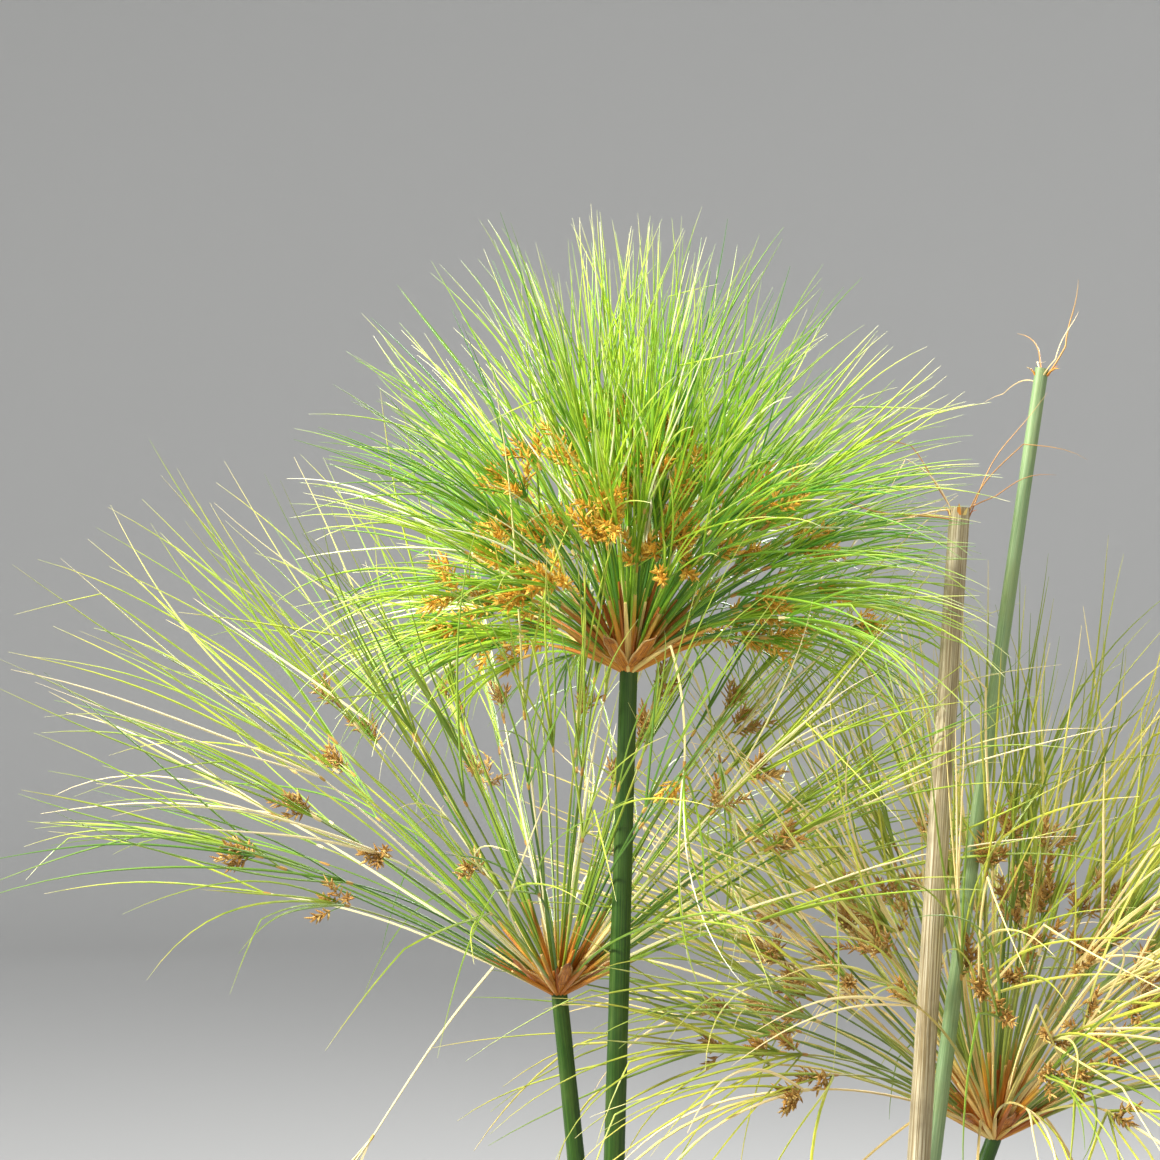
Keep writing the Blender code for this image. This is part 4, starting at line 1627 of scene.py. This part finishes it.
@dataclass
class Rootstock:
    """Woody creeping rootstock: ringed branches between the stems, half sunk in the soil."""

    branches: tuple[tuple[str, str], ...] = (
        ("main", "rear"), ("main", "shoot_short"), ("shoot_short", "shoot_tall"),
        ("shoot_tall", "cut_dry"), ("shoot_short", "side"), ("side", "cut_green"))
    branch_width: float = 0.021
    hollow: float = 0.017           # how far the surface sinks between branches
    ring_gap: float = 0.0065        # spacing of the ring scars along a branch
    fibres: int = 260
    seed: int = 8

    def __post_init__(self) -> None:
        """Read the rootstock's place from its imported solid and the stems' feet."""
        low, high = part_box("rootstock")
        self.centre, self.half = (low + high) / 2, (high - low) / 2
        self.feet = {stem: line.centre(np.array(line.low))[:2] for stem, line in STEMS.items()}

    def branch_at(self, across: np.ndarray) -> tuple[np.ndarray, np.ndarray]:
        """How near places are to a branch, and how far along it.

        Args:
            across: Places as rows of x and y.

        Returns:
            Nearness from 0 to 1, and distance along the nearest branch.
        """
        near, run = np.zeros(len(across)), np.zeros(len(across))
        for first, second in self.branches:
            start, step = self.feet[first], self.feet[second] - self.feet[first]
            share = np.clip((across - start) @ step / (step @ step), 0.0, 1.0)
            away = np.linalg.norm(across - start - share[:, None] * step, axis=1)
            closeness = np.exp(-(away / self.branch_width) ** 2)
            run = np.where(closeness > near, share * np.linalg.norm(step), run)
            near = np.maximum(near, closeness)
        return near, run

    def lift(self, places: np.ndarray) -> np.ndarray:
        """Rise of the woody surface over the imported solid, on its upper side.

        Args:
            places: Places as rows of coordinates.

        Returns:
            The rise at each place.
        """
        near, run = self.branch_at(places[:, :2])
        scars = np.abs(np.sin(run * math.pi / self.ring_gap)) ** 0.5
        return near * (0.003 + 0.0011 * scars) - self.hollow * (1.0 - near)

    def top(self, x: float, y: float) -> float:
        """Height of the rootstock's upper surface.

        Args:
            x: The place's x.
            y: The place's y.

        Returns:
            The height, or a height far below the soil where there is no rootstock.
        """
        across, deep = (x - self.centre.x) / self.half.x, (y - self.centre.y) / self.half.y
        flat = 1.0 - across ** 2 - deep ** 2
        if flat < 0.02:
            return -1.0
        height = self.centre.z + self.half.z * 0.93 * math.sqrt(flat)
        return height + float(self.lift(np.array([[x, y, height]]))[0])

    def build(self) -> None:
        """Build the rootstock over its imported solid."""
        bm = bmesh.new()
        bmesh.ops.create_icosphere(bm, subdivisions=7, radius=1.0)
        mesh = to_mesh(bm, "rootstock")
        way = places_of(mesh)
        places = way * np.array(self.half) * [0.96, 0.96, 0.95] + np.array(self.centre)
        upward = np.clip(way[:, 2] * 2.5, 0.0, 1.0)
        rough = np.array([noise.fractal(Vector(place) * 34.0, 0.75, 2.1, 5) for place in places])
        knobs = np.array([noise.noise(Vector(place) * 95.0) for place in places])
        places[:, 2] += upward * self.lift(places)
        places += way * (0.0030 * rough + 0.0012 * np.clip(knobs, 0.0, 1.0))[:, None]
        set_places(mesh, places)
        show(mesh, "rootstock_woody", ROOT_SKIN, ("rootstock",), 80.0)
        self.spread_fibres()

    def spread_fibres(self) -> None:
        """Wiry roots that run off the branches and into the soil."""
        rng = np.random.default_rng(self.seed)
        count = self.fibres
        azimuth = rng.uniform(0.0, math.tau, count)
        reach = rng.uniform(0.30, 0.97, count) ** 0.7
        start = np.stack([self.centre.x + np.cos(azimuth) * self.half.x * reach,
                          self.centre.y + np.sin(azimuth) * self.half.y * reach,
                          np.zeros(count)], axis=1)
        start[:, 2] = [self.top(x, y) - 0.0008 for x, y, _ in start]
        start = start[start[:, 2] > 0.0]
        count = len(start)
        azimuth = np.arctan2(start[:, 1], start[:, 0]) + rng.normal(0.0, 0.9, count)
        roots = Strands.aimed(start, headings(rng.uniform(1.1, 1.6, count), azimuth),
                              rng.uniform(0.008, 0.034, count),
                              rng.uniform(0.00025, 0.00075, count), rng,
                              bend=rng.uniform(0.2, 1.1, count),
                              swing=rng.normal(0.0, 0.9, count), ripple=0.22)
        show(roots.weave("roots", THREAD_SHAPE), "rootstock_fibres", ROOT_FIBRE)


@dataclass
class Soil:
    """Damp potting soil with crumbs on it."""

    rootstock: Rootstock
    cells: int = 96
    crumbs: int = 3200
    seed: int = 21
    skirt: float = 0.040            # depth of the body below its highest point
    crumb: float = 0.0008           # size of the smallest crumbs
    crumb_more: float = 0.0042      # how much larger the largest are

    def __post_init__(self) -> None:
        """Read the soil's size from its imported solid."""
        low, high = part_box("soil")
        self.radius = (high.x - low.x) / 2
        self.top = high.z

    def surface(self, x: float, y: float) -> float:
        """Height of the soil.

        Args:
            x: The place's x.
            y: The place's y.

        Returns:
            The height.
        """
        reach = min(1.0, math.hypot(x, y) / self.radius)
        mound = self.top - 0.009 * reach ** 1.6
        lumps = noise.fractal(Vector((x, y, 0.3)) * 38.0, 0.8, 2.1, 5) * 0.0028
        swell = noise.noise(Vector((x, y, 1.7)) * 11.0) * 0.0030
        return mound + lumps + swell

    def build(self) -> None:
        """Build the soil's body and the crumbs on it."""
        bm = bmesh.new()
        bmesh.ops.create_grid(bm, x_segments=self.cells, y_segments=self.cells, size=1.0)
        rim = [edge for edge in bm.edges if edge.is_boundary]
        for vert in bm.verts:
            x, y = vert.co.xy
            x, y = (x * math.sqrt(1.0 - y * y / 2.0) * self.radius,
                    y * math.sqrt(1.0 - x * x / 2.0) * self.radius)
            vert.co = (x, y, self.surface(x, y))
        skirt = bmesh.ops.extrude_edge_only(bm, edges=rim)["geom"]
        lowered = [item for item in skirt if isinstance(item, bmesh.types.BMVert)]
        for vert in lowered:
            vert.co.z = self.top - self.skirt
            vert.co.xy *= 0.97
        bmesh.ops.holes_fill(bm, edges=[item for item in skirt
                                        if isinstance(item, bmesh.types.BMEdge)], sides=0)
        bmesh.ops.recalc_face_normals(bm, faces=bm.faces)
        show(to_mesh(bm, "soil"), "soil_surface", EARTH, ("soil",), 80.0)
        self.scatter_crumbs()

    def scatter_crumbs(self) -> None:
        """Crumbs of soil and bark, some half sunk."""
        rng = np.random.default_rng(self.seed)
        bm = bmesh.new()
        bmesh.ops.create_icosphere(bm, subdivisions=1, radius=1.0)
        template = to_mesh(bm, "crumb")
        model = places_of(template)
        mesh = joined_copies(template, self.crumbs, "crumbs")
        reach = self.radius * 0.985 * np.sqrt(rng.random(self.crumbs))
        angle = rng.uniform(0.0, math.tau, self.crumbs)
        size = self.crumb + self.crumb_more * rng.random(self.crumbs) ** 3.6
        x, y = reach * np.cos(angle), reach * np.sin(angle)
        near, _ = self.rootstock.branch_at(np.stack([x, y], axis=1))
        size = size * np.where(near > 0.55, 0.3, 1.0)
        z = np.array([max(self.surface(px, py), self.rootstock.top(px, py))
                      for px, py in zip(x, y)]) + size * 0.25
        squash = rng.uniform(0.45, 1.0, (self.crumbs, 3)) * size[:, None]
        turn = rng.uniform(0.0, math.tau, self.crumbs)
        cos, sin = np.cos(turn)[:, None], np.sin(turn)[:, None]
        shape = model[None, :, :] * squash[:, None, :]
        shape = shape * (1.0 + 0.25 * rng.uniform(-1.0, 1.0, shape.shape[:2]))[..., None]
        places = np.stack([shape[..., 0] * cos - shape[..., 1] * sin + x[:, None],
                           shape[..., 0] * sin + shape[..., 1] * cos + y[:, None],
                           shape[..., 2] + z[:, None]], axis=-1)
        set_places(mesh, places.reshape(-1, 3))
        show(mesh, "soil_crumbs", CRUMB, (), 30.0)


# --- Studio --------------------------------------------------------------------------------


@dataclass
class Studio:
    """Seamless pale surround, soft lights and the camera."""

    turns: int = 96
    floor_radius: float = 7.0
    bend_radius: float = 2.5
    wall_top: float = 9.0
    distance: float = 2.0           # from the camera to the main umbel
    frame_width: float = 0.870      # width of what the camera sees at that distance
    right_of_axis: float = 0.036    # the main umbel's crown, right of the middle of the view
    below_axis: float = 0.066       # and below it
    sensor: float = 36.0
    lit_height: float = 0.95        # height that the lights point at

    def build(self) -> None:
        """Make the floor, the lights and the camera."""
        self.make_surround()
        self.make_lights()
        self.make_camera()

    def make_surround(self) -> None:
        """Round floor that curves up into a wall on every side."""
        outline = [(0.0, 0.0), (self.floor_radius, 0.0)]
        for index in range(1, 13):
            angle = math.pi / 2 * index / 12
            outline.append((self.floor_radius + self.bend_radius * math.sin(angle),
                            self.bend_radius * (1.0 - math.cos(angle))))
        outline.append((self.floor_radius + self.bend_radius, self.wall_top))
        bm = turned(outline, self.turns, 1e-5)
        bmesh.ops.reverse_faces(bm, faces=bm.faces)
        mesh = to_mesh(bm, "surround")
        mesh.shade_smooth()
        mesh.materials.append(STUDIO.make())
        surround = bpy.data.objects.new("surround", mesh)
        bpy.context.scene.collection.objects.link(surround)

    def make_lights(self) -> None:
        """Soft key from the upper left, weak fill, back light and broad top light."""
        target = Vector((0.0, 0.0, self.lit_height))
        for name, place, size, power in (
                ("key", (-3.0, -2.0, 3.2), 0.9, 500.0),
                ("fill", (2.6, -3.2, 1.8), 2.6, 45.0),
                ("back", (1.6, 2.8, 3.0), 1.5, 150.0),
                ("top", (-0.3, -0.5, 4.6), 2.2, 130.0)):
            light = bpy.data.lights.new(name, "AREA")
            light.shape = "DISK"
            light.size = size
            light.energy = power
            lamp = bpy.data.objects.new(name, light)
            lamp.location = place
            lamp.rotation_euler = (target - Vector(place)).to_track_quat("-Z", "Y").to_euler()
            bpy.context.scene.collection.objects.link(lamp)
        world = bpy.data.worlds.new("studio")
        world.use_nodes = True
        sky = world.node_tree.nodes["Background"]
        sky.inputs["Color"].default_value = (0.95, 0.97, 1.0, 1.0)
        sky.inputs["Strength"].default_value = 0.32
        bpy.context.scene.world = world

    def make_camera(self) -> None:
        """Level camera before the main umbel."""
        bpy.context.scene.view_settings.view_transform = "Standard"
        crown = STEMS["main"].head()
        data = bpy.data.cameras.new("camera")
        data.sensor_width = self.sensor
        data.lens = self.sensor * self.distance / self.frame_width
        data.clip_end = 60.0
        camera = bpy.data.objects.new("camera", data)
        camera.location = (crown[0] - self.right_of_axis, crown[1] - self.distance,
                           crown[2] + self.below_axis)
        camera.rotation_euler = (SIDEWAYS, 0.0, 0.0)
        bpy.context.scene.collection.objects.link(camera)
        bpy.context.scene.camera = camera


def main() -> None:
    """Build the whole plant and its studio."""
    logging.basicConfig(level=logging.INFO, format="%(message)s")
    Studio().build()
    Pot().build()
    rootstock = Rootstock()
    rootstock.build()
    Soil(rootstock).build()
    for stem in LIVING:
        Culm(stem, CULM_GREEN).build()
    Culm("cut_green", CULM_PALE, PITH_FRESH).build()
    Culm("cut_dry", CULM_DRY, PITH_DRY, seed=9, edge=0.115, turn=0.08).build()
    for stem in SHOOTS:
        Culm(stem, CULM_GREEN, steps=24).build()
    for index, stem in enumerate(STEMS):
        FootSheaths(stem, 3, 40 + index).build()
    DriedTuft("cut_green", 5, 5, 51).build()
    DriedTuft("cut_dry", 8, 7, 52).build()
    Umbel("main", rays=212, seed=11, widest=63.0, droop=70.0, ray_share=(0.29, 0.55),
          threads=(4, 7), flowering=0.60, ray_finish=RAY_FRESH, thread_finish=THREAD_FRESH,
          spikelet_finish=SPIKELET_GOLD, thread_lean=17.0, lopsided=0.07, squat=0.15, edge=0.165,
          front_lift=0.45, unrest=1.25, broken=(-0.95, 0.6)).build()
    Umbel("rear", rays=112, seed=12, widest=64.0, droop=8.0, ray_share=(0.48, 0.62),
          threads=(2, 5), flowering=0.25, ray_finish=RAY_RIPE, thread_finish=THREAD_RIPE,
          spikelet_finish=SPIKELET_BROWN, thread_lean=9.0, lopsided=-0.08, unrest=1.5,
          kinked=0.10, broken=(2.4,),
          arcs=((184.0, 33.0, 0.64), (176.0, 32.0, 0.54), (188.0, 41.0, 0.60),
                (181.0, 45.0, 0.60), (174.0, 54.0, 0.58), (190.0, 60.0, 0.58),
                (-8.0, 30.0, 0.62), (6.0, 26.0, 0.62))).build()
    Umbel("side", rays=150, seed=13, widest=62.0, droop=40.0, ray_share=(0.42, 0.60),
          threads=(3, 6), flowering=0.55, ray_finish=RAY_OLD, thread_finish=THREAD_OLD,
          spikelet_finish=SPIKELET_BROWN, ray_radius=0.00120, thread_radius=0.00102,
          thread_lean=19.0, lopsided=-0.06, unrest=2.0, kinked=0.14,
          broken=(-2.0, 0.3, 2.9)).build()


if __name__ == "__main__":
    main()
